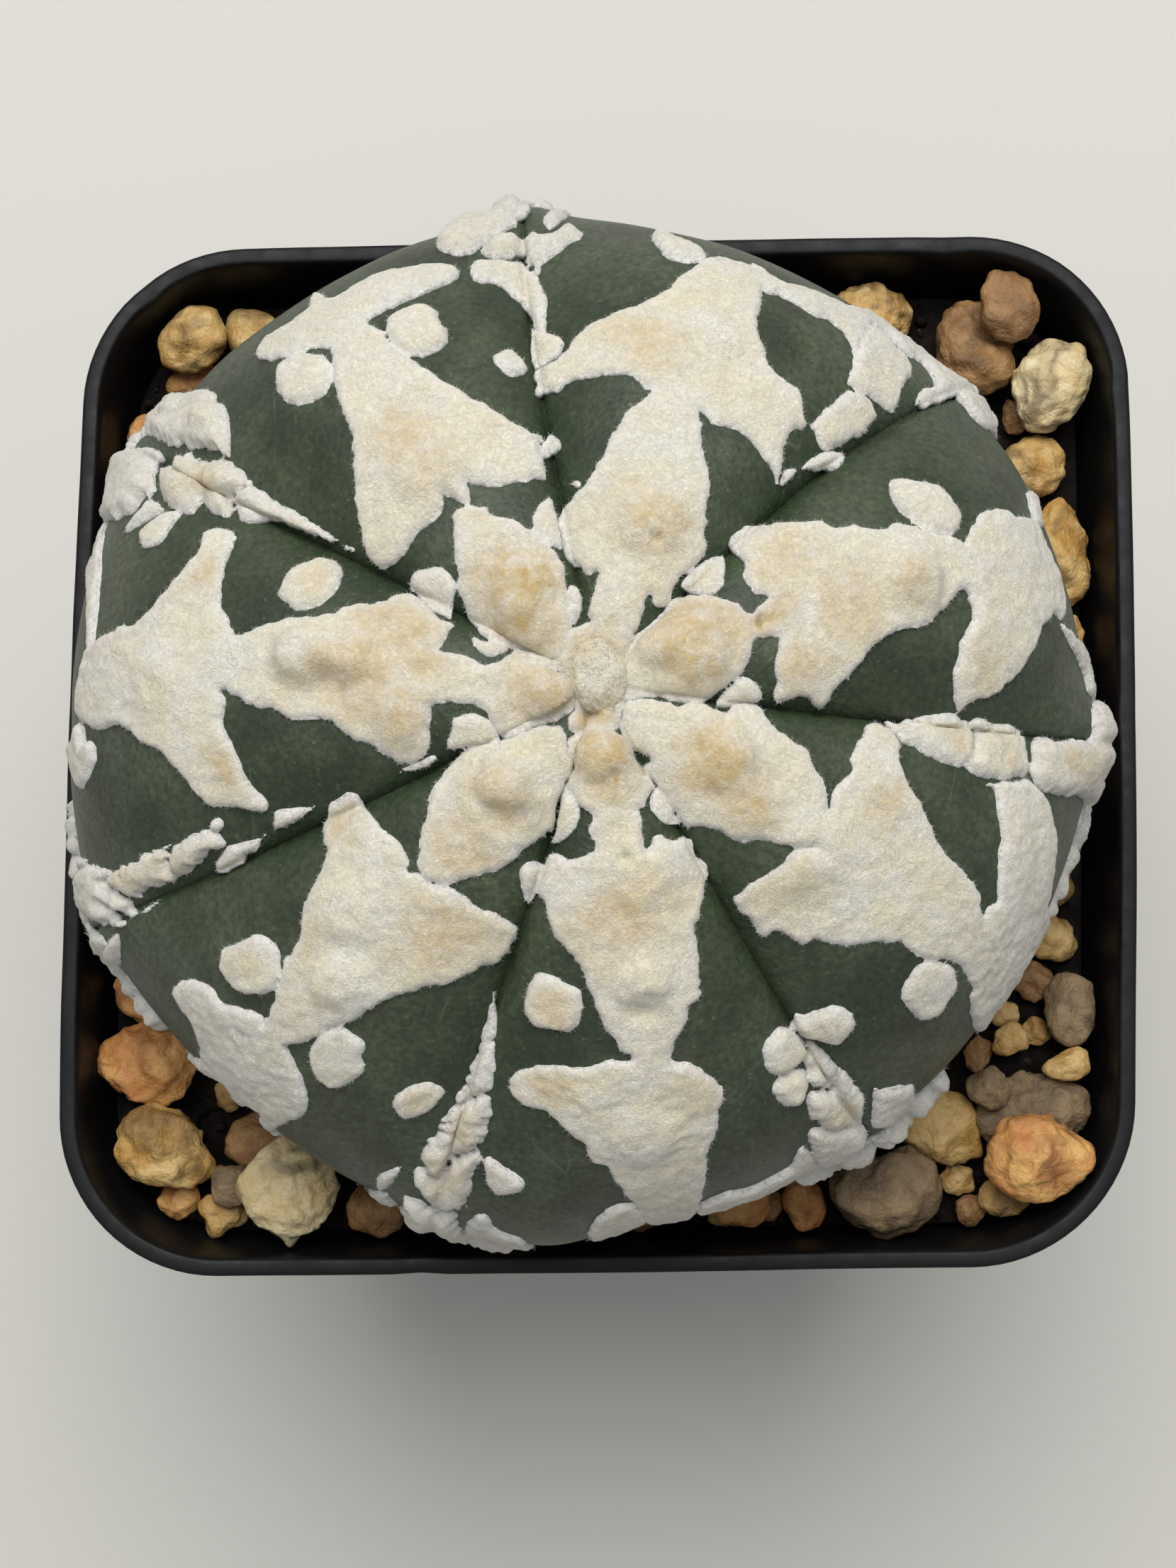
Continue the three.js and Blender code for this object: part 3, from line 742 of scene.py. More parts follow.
WOOL_NORTH = (
    Patch("bell_and_arm", PAD, (
        (365, 502), (382, 509), (467, 490), (470, 542), (498, 610), (503, 702), (520, 785), (553, 805),
        (593, 752), (627, 718), (625, 697), (650, 711), (665, 708), (657, 678), (690, 688), (757, 677),
        (773, 680), (762, 635), (765, 618), (727, 598), (590, 513), (553, 488), (543, 468), (517, 460),
        (537, 442), (643, 397), (637, 378), (560, 385), (520, 398), (470, 425), (453, 417), (443, 422),
        (433, 445), (380, 478),
    )),
    Patch("lobed_spot", TUFT, (
        (552, 448), (593, 433), (617, 443), (632, 475), (623, 492), (600, 503), (573, 502), (548, 475),
    )),
    Patch("round_spot", TUFT, (
        (413, 502), (447, 500), (467, 512), (465, 552), (423, 572), (400, 560), (393, 538), (398, 515),
    )),
    Patch("small_spot", PAD, (
        (695, 505), (703, 497), (723, 493), (745, 520), (737, 530), (720, 531), (707, 523),
    )),
    Patch("tiny_oval", PAD, (
        (782, 618), (791, 625), (790, 635), (778, 647), (767, 647), (763, 635), (770, 625),
    )),
    Patch("groove_oval", TUFT, (
        (762, 712), (777, 702), (782, 722), (795, 775), (773, 768), (755, 748), (752, 732),
    )),
    Patch("inner_leaf", PAD, (
        (650, 715), (687, 715), (692, 725), (743, 745), (793, 793), (807, 890), (812, 903), (800, 930),
        (770, 936), (717, 910), (685, 900), (652, 847), (640, 738),
    )),
    Patch("lens_by_arm", TUFT, (
        (663, 893), (675, 902), (712, 912), (717, 919), (694, 928), (678, 921), (667, 908),
    )),
    Patch("spot_by_leaf", TUFT, (
        (583, 813), (597, 803), (623, 799), (642, 818), (638, 867), (632, 873), (585, 838),
    )),
    Patch("sliver_by_leaf", TUFT, (
        (802, 825), (813, 828), (822, 843), (820, 863), (812, 880), (807, 883), (801, 840),
    )),
    Patch("curved_strip", PAD, (
        (667, 378), (683, 371), (733, 378), (767, 405), (772, 470), (757, 470), (740, 435), (703, 402),
        (683, 400), (670, 393),
    )),
    Patch("wedge", PAD, (
        (753, 475), (790, 475), (797, 487), (787, 505), (773, 515), (760, 527), (755, 522),
    )),
    Patch("top_bar", PLUME, (
        (622, 338), (670, 315), (693, 312), (698, 295), (717, 287), (747, 298), (742, 315), (707, 333),
        (660, 362), (620, 355),
    )),
    Patch("top_fork", PLUME, (
        (703, 338), (745, 347), (750, 332), (763, 338), (780, 335), (797, 323), (817, 325), (823, 337),
        (768, 372), (763, 390), (737, 372), (693, 367), (680, 357),
    )),
    Patch("top_tuft", TUFT, (
        (767, 312), (777, 302), (793, 302), (805, 303), (793, 313), (777, 325), (770, 320),
    )),
)

WOOL_NORTH_EAST = (
    Patch("wing_and_leaf", PAD, (
        (762, 562), (760, 532), (800, 498), (823, 468), (937, 415), (950, 400), (993, 372), (1017, 367),
        (1077, 390), (1067, 462), (1080, 495), (1082, 512), (1113, 545), (1128, 552), (1137, 602),
        (1112, 613), (1097, 687), (1087, 658), (1043, 608), (1007, 598), (985, 580), (1000, 675),
        (993, 725), (997, 780), (962, 815), (937, 855), (920, 855), (915, 842), (900, 887), (893, 893),
        (900, 905), (870, 915), (840, 910), (822, 893), (837, 875), (833, 867), (843, 812), (830, 815),
        (800, 783), (790, 742), (807, 702), (837, 672), (880, 590), (927, 549), (912, 548), (887, 530),
        (807, 538), (790, 552), (773, 555),
    )),
    Patch("rim_oval", TUFT, (
        (920, 335), (937, 332), (987, 353), (1000, 365), (983, 372), (960, 372), (940, 363),
    )),
    Patch("speck", PAD, ((808, 683), (815, 678), (822, 683), (815, 690))),
    Patch("long_strip", PAD, (
        (1060, 375), (1100, 400), (1147, 412), (1207, 438), (1267, 457), (1323, 488), (1350, 523),
        (1400, 568), (1425, 605), (1407, 615), (1380, 598), (1353, 568), (1337, 565), (1290, 582),
        (1298, 552), (1317, 550), (1315, 532), (1300, 513), (1280, 502), (1250, 472), (1227, 463),
        (1205, 502), (1200, 483), (1170, 452), (1150, 447), (1103, 418), (1077, 413),
    )),
    Patch("blunt_leaf", PAD, (
        (1205, 502), (1220, 465), (1240, 472), (1287, 522), (1273, 548), (1258, 588), (1233, 565),
        (1193, 542), (1203, 522),
    )),
    Patch("four_sided", PAD, (
        (1142, 598), (1160, 585), (1195, 553), (1227, 567), (1230, 602), (1173, 635), (1160, 635),
        (1150, 608),
    )),
    Patch("pale_wedge", PAD, ((1100, 688), (1107, 665), (1122, 663), (1118, 675))),
    Patch("spot_by_inner_leaf", TUFT, (
        (990, 797), (1007, 789), (1017, 792), (1022, 817), (1007, 840), (970, 838), (960, 823),
    )),
)

WOOL_EAST = (
    Patch("oval_spot", TUFT, (
        (1257, 680), (1323, 688), (1355, 725), (1355, 745), (1340, 755), (1307, 752), (1263, 715),
    )),
    Patch("small_fluff", PLUME, (
        (1130, 662), (1150, 645), (1170, 637), (1188, 650), (1183, 660), (1160, 668), (1140, 665),
    )),
    Patch("big_wing", PAD, (
        (1028, 772), (1033, 758), (1053, 747), (1080, 747), (1100, 740), (1157, 737), (1177, 745),
        (1200, 742), (1250, 747), (1273, 740), (1350, 761), (1360, 771), (1377, 732), (1410, 717),
        (1430, 728), (1450, 732), (1463, 748), (1497, 833), (1499, 873), (1485, 867), (1480, 877),
        (1472, 883), (1440, 948), (1413, 965), (1412, 973), (1400, 982), (1373, 988), (1350, 1001),
        (1345, 957), (1355, 920), (1353, 907), (1372, 870), (1367, 850), (1368, 840), (1353, 833),
        (1308, 883), (1267, 888), (1233, 913), (1160, 995), (1153, 1000), (1127, 983), (1090, 992),
        (1096, 960), (1093, 940), (1097, 917), (1105, 898), (1067, 903), (1058, 933), (1003, 988),
        (980, 995), (920, 982), (880, 990), (868, 975), (878, 912), (935, 870), (953, 846), (1007, 841),
        (1037, 853), (1057, 866), (1087, 842), (1063, 837), (1048, 817), (1050, 800),
    )),
    Patch("edge_bit", PAD, ((1448, 697), (1458, 700), (1463, 718), (1468, 742), (1460, 742), (1453, 722))),
    Patch("edge_strip", PAD, (
        (1500, 883), (1517, 903), (1527, 923), (1541, 977), (1535, 980), (1525, 943), (1498, 888),
    )),
    Patch("spot_by_notch", TUFT, (
        (1047, 955), (1070, 970), (1075, 983), (1063, 992), (1047, 993), (1027, 999), (1008, 992),
    )),
    Patch("groove_block_inner", CHUNK, (
        (1283, 1023), (1307, 1012), (1347, 1010), (1367, 1037), (1358, 1085), (1273, 1047), (1267, 1038),
        (1277, 1032),
    )),
    Patch("groove_block_tip", PAD, (
        (1242, 1018), (1260, 1023), (1280, 1017), (1287, 1023), (1277, 1032), (1263, 1037), (1253, 1030),
    )),
    Patch("groove_block_middle", CHUNK, (
        (1370, 1023), (1377, 1014), (1400, 1022), (1420, 1020), (1438, 1040), (1447, 1093), (1427, 1097),
        (1413, 1102), (1362, 1087), (1371, 1050),
    )),
    Patch("groove_block_outer", PLUME, (
        (1453, 1040), (1483, 1047), (1500, 1043), (1537, 1042), (1540, 993), (1550, 990), (1562, 1013),
        (1563, 1043), (1573, 1050), (1575, 1067), (1563, 1093), (1572, 1117), (1570, 1143), (1543, 1217),
        (1520, 1240), (1527, 1210), (1532, 1150), (1520, 1123), (1483, 1123), (1453, 1100),
    )),
)

WOOL_SOUTH_EAST = (
    Patch("inner_and_outer_wing", PAD, (
        (880, 993), (930, 988), (957, 998), (970, 992), (990, 993), (1022, 1005), (1030, 995), (1047, 992),
        (1070, 1000), (1093, 1030), (1137, 1057), (1150, 1090), (1160, 1103), (1170, 1143), (1172, 1123),
        (1180, 1107), (1202, 1087), (1203, 1070), (1217, 1033), (1215, 1023), (1233, 1020), (1267, 1048),
        (1270, 1087), (1302, 1143), (1327, 1197), (1380, 1257), (1382, 1277), (1388, 1293), (1393, 1280),
        (1407, 1267), (1407, 1227), (1412, 1177), (1402, 1117), (1393, 1107), (1447, 1102), (1473, 1127),
        (1485, 1193), (1476, 1297), (1490, 1283), (1437, 1373), (1430, 1397), (1413, 1413), (1387, 1461),
        (1372, 1447), (1368, 1407), (1372, 1393), (1350, 1358), (1298, 1353), (1265, 1329), (1183, 1334),
        (1153, 1325), (1133, 1332), (1093, 1312), (1077, 1321), (1060, 1300), (1033, 1268), (1045, 1258),
        (1100, 1220), (1110, 1207), (1127, 1198), (1148, 1194), (1043, 1187), (1010, 1170), (983, 1166),
        (965, 1167), (943, 1130), (907, 1087), (923, 1070), (893, 1055), (877, 1037),
    )),
    Patch("round_spot", TUFT, (
        (1317, 1355), (1337, 1360), (1347, 1373), (1347, 1393), (1323, 1430), (1290, 1437), (1272, 1400),
        (1292, 1363),
    )),
    Patch("spot_by_crown", TUFT, (
        (923, 1113), (932, 1108), (947, 1130), (953, 1150), (960, 1162), (933, 1160), (917, 1137),
    )),
    Patch("groove_leaf", CHUNK, (
        (1120, 1427), (1133, 1432), (1173, 1417), (1203, 1430), (1207, 1443), (1197, 1460), (1177, 1471),
        (1133, 1460), (1123, 1450), (1113, 1447),
    )),
    Patch("groove_lump_1", CHUNK, (
        (1100, 1448), (1130, 1463), (1130, 1497), (1097, 1517), (1080, 1507), (1076, 1487), (1080, 1467),
    )),
    Patch("groove_lump_2", CHUNK, (
        (1120, 1508), (1137, 1513), (1132, 1547), (1113, 1562), (1097, 1553), (1088, 1540), (1093, 1527),
    )),
    Patch("groove_lump_3", CHUNK, (
        (1133, 1460), (1178, 1500), (1167, 1530), (1138, 1527), (1137, 1510), (1132, 1493), (1135, 1480),
    )),
    Patch("groove_lump_4", CHUNK, (
        (1180, 1505), (1193, 1512), (1200, 1527), (1212, 1540), (1216, 1557), (1207, 1577), (1170, 1593),
        (1153, 1583), (1140, 1577), (1138, 1543), (1170, 1533),
    )),
    Patch("groove_lump_5", CHUNK, (
        (1203, 1580), (1215, 1588), (1213, 1603), (1177, 1652), (1150, 1637), (1138, 1603), (1148, 1588),
        (1170, 1593),
    )),
    Patch("edge_strip", PAD, (
        (1060, 1673), (1110, 1647), (1132, 1615), (1157, 1647), (1177, 1653), (1193, 1642), (1210, 1645),
        (1243, 1630), (1253, 1613), (1268, 1608), (1272, 1627), (1263, 1648), (1247, 1660), (1227, 1660),
        (1217, 1673), (1193, 1678), (1160, 1673), (1120, 1690), (1040, 1698), (983, 1708), (985, 1698),
        (1027, 1680),
    )),
    Patch("edge_branch", PAD, (
        (1203, 1640), (1207, 1630), (1247, 1600), (1263, 1570), (1287, 1567), (1327, 1537), (1333, 1547),
        (1320, 1567), (1303, 1580), (1297, 1593), (1253, 1609), (1240, 1625),
    )),
    Patch("edge_fluff", TUFT, (
        (1232, 1533), (1240, 1537), (1283, 1530), (1290, 1547), (1283, 1560), (1260, 1570), (1250, 1585),
        (1233, 1588), (1228, 1580),
    )),
)

WOOL_SOUTH = (
    Patch("breast", PAD, (
        (887, 1050), (897, 1077), (927, 1108), (917, 1120), (907, 1138), (893, 1147), (903, 1148),
        (910, 1197), (927, 1178), (953, 1185), (965, 1182), (997, 1227), (993, 1243), (987, 1293),
        (977, 1303), (977, 1317), (985, 1333), (987, 1400), (973, 1423), (968, 1443), (945, 1493),
        (987, 1505), (1013, 1530), (1020, 1553), (1012, 1570), (1015, 1590), (1007, 1600), (998, 1627),
        (998, 1653), (973, 1714), (913, 1722), (900, 1700), (887, 1690), (853, 1643), (837, 1637),
        (823, 1610), (807, 1603), (773, 1568), (737, 1557), (723, 1543), (720, 1523), (750, 1502),
        (827, 1505), (860, 1495), (890, 1493), (877, 1480), (848, 1437), (817, 1363), (780, 1313),
        (772, 1277), (760, 1260), (777, 1205), (800, 1213), (827, 1205), (840, 1203), (834, 1170),
        (837, 1153), (820, 1138), (807, 1118), (795, 1115), (812, 1082), (802, 1060), (802, 1043),
        (827, 1028), (860, 1028),
    )),
    Patch("round_spot", TUFT, (
        (772, 1373), (810, 1390), (822, 1407), (817, 1443), (803, 1457), (760, 1448), (737, 1420),
        (753, 1377),
    )),
    Patch("half_moon", TUFT, (
        (795, 1116), (812, 1125), (818, 1148), (807, 1173), (787, 1188), (780, 1187), (785, 1173),
    )),
    Patch("small_spot", TUFT, (
        (737, 1222), (733, 1233), (745, 1273), (767, 1237), (769, 1222), (760, 1216), (747, 1216),
    )),
    Patch("edge_leaf", PAD, (
        (828, 1737), (853, 1707), (873, 1698), (893, 1697), (907, 1707), (911, 1718), (850, 1742),
    )),
)

WOOL_SOUTH_WEST = (
    Patch("inner", PAD, (
        (703, 1050), (667, 1050), (613, 1113), (587, 1220), (623, 1247), (687, 1232), (720, 1217),
        (770, 1173), (782, 1173), (790, 1117), (810, 1082), (800, 1060), (797, 1027), (790, 1022),
        (757, 1027),
    )),
    Patch("outer_wing", PAD, (
        (493, 1119), (467, 1132), (465, 1160), (458, 1173), (457, 1190), (462, 1207), (433, 1273),
        (418, 1337), (400, 1352), (397, 1377), (375, 1441), (367, 1427), (317, 1415), (297, 1393),
        (267, 1379), (247, 1393), (255, 1417), (273, 1440), (287, 1493), (263, 1483), (252, 1482),
        (255, 1490), (315, 1523), (337, 1550), (367, 1565), (368, 1573), (388, 1593), (393, 1587),
        (438, 1563), (413, 1490), (403, 1473), (437, 1468), (467, 1450), (497, 1440), (537, 1413),
        (610, 1388), (627, 1388), (687, 1362), (715, 1343), (720, 1330), (732, 1310), (693, 1287),
        (677, 1285), (643, 1257), (610, 1247), (585, 1228), (578, 1230), (577, 1217), (563, 1187),
        (535, 1163), (508, 1122),
    )),
    Patch("round_spot_1", TUFT, (
        (363, 1314), (347, 1325), (317, 1338), (313, 1373), (337, 1400), (383, 1402), (398, 1357),
        (380, 1322),
    )),
    Patch("round_spot_2", TUFT, (
        (483, 1447), (512, 1472), (507, 1487), (515, 1510), (483, 1531), (463, 1531), (438, 1503),
        (442, 1467), (453, 1453),
    )),
    Patch("oval_spot", TUFT, (
        (553, 1555), (570, 1534), (603, 1525), (622, 1533), (625, 1543), (597, 1570), (563, 1576),
    )),
    Patch("moon", TUFT, (
        (640, 1012), (637, 1027), (632, 1057), (667, 1051), (705, 1049), (697, 1023), (673, 1007),
    )),
    Patch("groove_sliver", TUFT, (
        (562, 1090), (573, 1082), (593, 1075), (610, 1067), (617, 1068), (612, 1075), (597, 1083),
    )),
    Patch("groove_leaf", TUFT, (
        (382, 1171), (360, 1183), (330, 1190), (308, 1213), (318, 1227), (345, 1217), (352, 1202),
        (365, 1196),
    )),
    Patch("groove_wedge", PAD, (
        (390, 1143), (420, 1140), (448, 1137), (413, 1160), (392, 1169), (387, 1163), (388, 1153),
    )),
    Patch("strip_tip", PAD, ((698, 1395), (700, 1420), (698, 1463), (680, 1468), (685, 1450), (693, 1420))),
    Patch("strip_upper", PLUME, (
        (698, 1467), (697, 1527), (688, 1538), (660, 1545), (652, 1538), (670, 1493), (677, 1473),
    )),
    Patch("strip_middle", PLUME, (
        (693, 1545), (690, 1593), (676, 1617), (640, 1626), (622, 1655), (600, 1643), (597, 1620),
        (603, 1607), (617, 1603), (622, 1580), (632, 1570), (650, 1538), (660, 1545),
    )),
    Patch("strip_lower", PLUME, (
        (680, 1621), (668, 1660), (660, 1693), (640, 1700), (610, 1692), (578, 1660), (583, 1648),
        (600, 1645), (622, 1656), (642, 1628),
    )),
    Patch("strip_foot", PLUME, (
        (573, 1687), (640, 1703), (660, 1700), (643, 1707), (650, 1740), (597, 1748), (580, 1733),
        (563, 1720), (577, 1697),
    )),
    Patch("foot_right", PAD, (
        (682, 1712), (660, 1723), (653, 1753), (670, 1763), (693, 1760), (733, 1775), (745, 1763),
        (737, 1747), (703, 1735),
    )),
    Patch("foot_leaf", TUFT, (
        (687, 1632), (700, 1638), (737, 1663), (735, 1680), (703, 1683), (690, 1670), (683, 1650),
    )),
    Patch("foot_wisp", PAD, ((533, 1657), (567, 1643), (557, 1663), (540, 1677), (533, 1673))),
    Patch("foot_left", PAD, (
        (483, 1682), (503, 1685), (517, 1680), (547, 1682), (548, 1710), (527, 1712), (510, 1707),
    )),
)

WOOL_WEST = (
    Patch("wing", PAD, (
        (287, 758), (303, 747), (330, 748), (333, 758), (320, 797), (313, 850), (323, 870), (337, 897),
        (393, 873), (467, 867), (487, 856), (543, 848), (553, 842), (587, 839), (610, 867), (645, 883),
        (635, 892), (620, 913), (613, 919), (663, 927), (683, 940), (727, 919), (743, 929), (807, 957),
        (812, 998), (787, 1018), (753, 1025), (714, 1043), (677, 996), (610, 994), (610, 1013), (603, 1057),
        (580, 1076), (560, 1075), (547, 1063), (483, 1033), (465, 1014), (440, 1017), (410, 1012),
        (387, 998), (367, 999), (312, 969), (320, 990), (314, 1020), (332, 1053), (350, 1100), (380, 1132),
        (372, 1145), (310, 1135), (303, 1138), (283, 1123), (233, 1063), (217, 1055), (170, 1022),
        (142, 1028), (113, 1010), (125, 920), (150, 895), (167, 890), (173, 883), (198, 877), (273, 790),
    )),
    Patch("leaf_spot", TUFT, (
        (395, 838), (417, 864), (457, 855), (459, 848), (470, 842), (488, 803), (455, 788), (407, 807),
    )),
    Patch("edge_oval", TUFT, (
        (122, 1048), (132, 1046), (137, 1070), (120, 1110), (110, 1105), (102, 1053), (108, 1043),
        (115, 1017), (121, 1027),
    )),
    Patch("edge_strip", PAD, (
        (142, 742), (148, 755), (136, 900), (127, 913), (129, 830), (125, 797), (120, 791), (130, 785),
    )),
    Patch("lower_edge_strip", PAD, (
        (90, 1152), (105, 1155), (112, 1205), (125, 1212), (120, 1225), (100, 1235), (90, 1232),
    )),
    Patch("groove_chunk_inner", PLUME, (
        (300, 1169), (324, 1188), (303, 1202), (262, 1235), (253, 1233), (240, 1217), (248, 1187),
    )),
    Patch("groove_chunk_middle", PLUME, (
        (242, 1187), (170, 1222), (153, 1240), (172, 1260), (205, 1266), (207, 1257), (247, 1243),
        (252, 1235), (238, 1217),
    )),
    Patch("groove_chunk_outer", PLUME, (
        (158, 1227), (152, 1240), (157, 1253), (187, 1270), (197, 1288), (187, 1293), (150, 1274),
        (183, 1300), (170, 1307), (137, 1295), (100, 1288), (88, 1273), (87, 1240), (115, 1227),
        (125, 1218),
    )),
    Patch("bead", TUFT, ((300, 1157), (308, 1153), (315, 1158), (316, 1167), (308, 1173), (298, 1168))),
    Patch("lower_left_strip", PAD, (
        (103, 1297), (113, 1307), (122, 1340), (115, 1358), (125, 1370), (142, 1403), (160, 1417),
        (185, 1415), (158, 1363), (148, 1357), (150, 1325), (120, 1297),
    )),
    Patch("lower_left_oval", TUFT, (
        (162, 1317), (170, 1318), (170, 1357), (160, 1365), (150, 1360), (147, 1350), (150, 1330),
    )),
    Patch("wedge", PAD, ((203, 1287), (213, 1277), (233, 1265), (223, 1275), (210, 1285))),
)

WOOL_NORTH_WEST = (
    Patch("top_fluff", PLUME, (
        (217, 575), (220, 562), (250, 542), (267, 558), (287, 550), (303, 552), (310, 568), (322, 582),
        (328, 647), (310, 638), (270, 632), (267, 625), (247, 630), (205, 612), (190, 632), (183, 628),
    )),
    Patch("left_fluff", PLUME, (
        (180, 645), (213, 633), (230, 638), (235, 652), (223, 668), (220, 695), (203, 705), (190, 722),
        (143, 738), (153, 688),
    )),
    Patch("middle_chunk", PLUME, (
        (230, 668), (250, 658), (253, 645), (270, 640), (283, 645), (287, 652), (317, 648), (337, 658),
        (358, 683), (340, 695), (330, 725), (317, 730), (300, 722), (287, 705), (283, 715), (270, 725),
        (250, 722), (233, 708),
    )),
    Patch("taper", CHUNK, (
        (340, 705), (360, 687), (403, 715), (507, 782), (453, 755), (387, 738), (343, 737),
    )),
    Patch("small_leaf_1", TUFT, (
        (180, 752), (187, 738), (203, 718), (213, 705), (227, 715), (233, 720), (213, 732),
    )),
    Patch("small_leaf_2", TUFT, (
        (203, 772), (203, 752), (237, 725), (257, 723), (243, 742), (230, 762), (213, 772),
    )),
)

WOOL_CROWN = (
    Patch("cushion", PAD, (
        (790, 900), (806, 886), (837, 878), (895, 893), (876, 970), (882, 995), (877, 1022), (860, 1031),
        (838, 1026), (820, 1034), (803, 1031), (800, 1012), (812, 998), (808, 957), (757, 941), (735, 930),
        (728, 916), (780, 925),
    )),
)

# Round mounds that the areoles lift in the wool: centre in the photograph, radius and height in mm.
MOUNDS = (
    (775, 977, 1.35, 1.1), (852, 1066, 1.45, 1.0), (733, 829, 1.7, 0.8), (748, 880, 1.4, 0.7),
    (980, 912, 1.9, 0.9), (714, 1110, 1.35, 1.0), (705, 1130, 2.3, 0.4), (905, 1385, 1.5, 0.8),
    (1025, 1075, 1.6, 0.9), (1285, 822, 1.7, 1.1), (432, 925, 1.6, 1.2), (492, 930, 1.4, 0.9),
    (915, 735, 1.9, 0.8), (610, 665, 2.0, 0.6), (1140, 1210, 2.0, 0.6), (1000, 480, 1.8, 0.5),
    (495, 1290, 1.8, 0.4), (480, 1385, 1.6, 0.6), (910, 1600, 2.0, 0.4), (908, 1230, 2.2, 0.5),
    (268, 690, 1.2, 0.5), (325, 688, 1.2, 0.5), (255, 580, 1.0, 0.5), (300, 590, 0.9, 0.5),
    (228, 618, 1.0, 0.4), (565, 1010, 1.6, 0.6), (230, 960, 2.0, 0.4), (1060, 1140, 1.5, 0.4),
    (925, 915, 1.1, 0.6),
)
# Small pits and dents in the wool: centre in the photograph, radius and depth in mm.
DENTS = (
    (833, 1007, 0.45, 0.9), (823, 998, 0.35, 0.5), (1073, 877, 0.5, 0.5), (924, 765, 0.35, 0.5),
    (882, 1210, 0.3, 0.4), (1138, 1510, 0.5, 0.9), (907, 1073, 0.45, 0.9), (865, 1096, 0.3, 0.3),
    (470, 965, 1.2, 0.35), (905, 1415, 1.0, 0.4), (1285, 843, 0.9, 0.3), (712, 1150, 1.0, 0.3),
)
# Where the wool is stained tan: centre in the photograph, radius in mm and strength. Strengths above 1 sit at
# the pits of DENTS, which the finish turns brown as painted shade.
STAINS_AND_PIT_SHADE = (
    (735, 820, 2.4, 0.9), (740, 875, 2.2, 0.8), (735, 850, 2.6, 0.6), (975, 900, 2.8, 0.8),
    (1010, 880, 2.0, 0.7), (1000, 935, 1.6, 0.6), (850, 1065, 1.9, 0.9), (870, 1100, 1.3, 0.6),
    (705, 1125, 1.9, 0.6), (650, 1190, 2.2, 0.5), (1010, 1085, 2.0, 0.9), (1060, 1130, 1.8, 0.7),
    (1100, 1230, 2.5, 0.4), (840, 1000, 1.5, 1.0), (842, 918, 1.5, 0.8), (860, 1010, 1.2, 0.8),
    (765, 985, 2.0, 0.7), (500, 960, 2.6, 0.6), (560, 1000, 1.7, 0.7), (470, 945, 1.3, 0.7),
    (585, 900, 2.0, 0.6), (540, 880, 1.6, 0.6), (880, 1290, 2.6, 0.5), (830, 1320, 1.8, 0.5),
    (780, 1525, 1.7, 0.6), (490, 1170, 1.7, 0.6), (620, 1320, 2.6, 0.6), (660, 1300, 1.9, 0.6),
    (440, 1310, 1.5, 0.5), (330, 1080, 1.8, 0.6), (300, 810, 1.5, 0.6), (930, 745, 1.9, 0.6),
    (900, 700, 1.9, 0.3), (1080, 870, 1.3, 0.9), (1110, 790, 2.0, 0.5), (1200, 850, 2.2, 0.5),
    (1130, 940, 1.6, 0.5), (1390, 930, 1.8, 0.4), (1280, 830, 1.6, 0.5), (1250, 1130, 1.8, 0.5),
    (1420, 1075, 1.0, 0.8), (1500, 1075, 1.0, 0.6), (350, 1350, 1.2, 0.5), (445, 825, 1.2, 0.5),
    (785, 1415, 1.2, 0.5), (990, 1530, 1.7, 0.4), (240, 1215, 1.5, 0.5), (180, 1235, 1.5, 0.6),
    (660, 1580, 1.3, 0.5), (640, 1650, 1.5, 0.4), (350, 1070, 1.3, 0.3), (1390, 1040, 1.2, 0.5),
    (1340, 1045, 1.2, 0.5), (575, 1555, 1.2, 0.4), (920, 490, 2.6, 0.4), (560, 620, 2.4, 0.5),
    (610, 665, 1.9, 0.4), (1180, 1560, 1.3, 0.5), (835, 1006, 0.7, 2.0), (850, 1012, 0.5, 1.6),
    (822, 1000, 0.4, 1.5), (1072, 878, 0.45, 1.6), (925, 764, 0.3, 1.2), (907, 1073, 0.45, 2.0),
    (1066, 862, 0.4, 1.4), (867, 1096, 0.2, 1.6), (310, 690, 1.8, 0.6), (420, 735, 1.2, 0.4),
    (165, 700, 1.5, 0.5), (1530, 1075, 1.4, 0.4),
)


def signed_distance(points: np.ndarray, outline: np.ndarray) -> np.ndarray:
    """Measures how deep points lie inside a closed outline.

    Args:
        points: Rows of x, y.
        outline: Rows of x, y round the outline.

    Returns:
        The distance to the outline, above 0 inside it.
    """
    nearest = np.full(len(points), 1e9)
    inside = np.zeros(len(points), bool)
    for a, b in zip(outline, np.roll(outline, -1, axis=0)):
        edge = b - a
        reach = points - a
        t = np.clip(reach @ edge / max(edge @ edge, 1e-12), 0, 1)
        gap = reach - t[:, None] * edge
        nearest = np.minimum(nearest, gap[:, 0] ** 2 + gap[:, 1] ** 2)
        crosses = (a[1] > points[:, 1]) != (b[1] > points[:, 1])
        if crosses.any():
            at = a[0] + (points[:, 1] - a[1]) / (edge[1] if edge[1] else 1e-12) * edge[0]
            inside ^= crosses & (points[:, 0] < at)
    return np.where(inside, 1.0, -1.0) * np.sqrt(nearest)


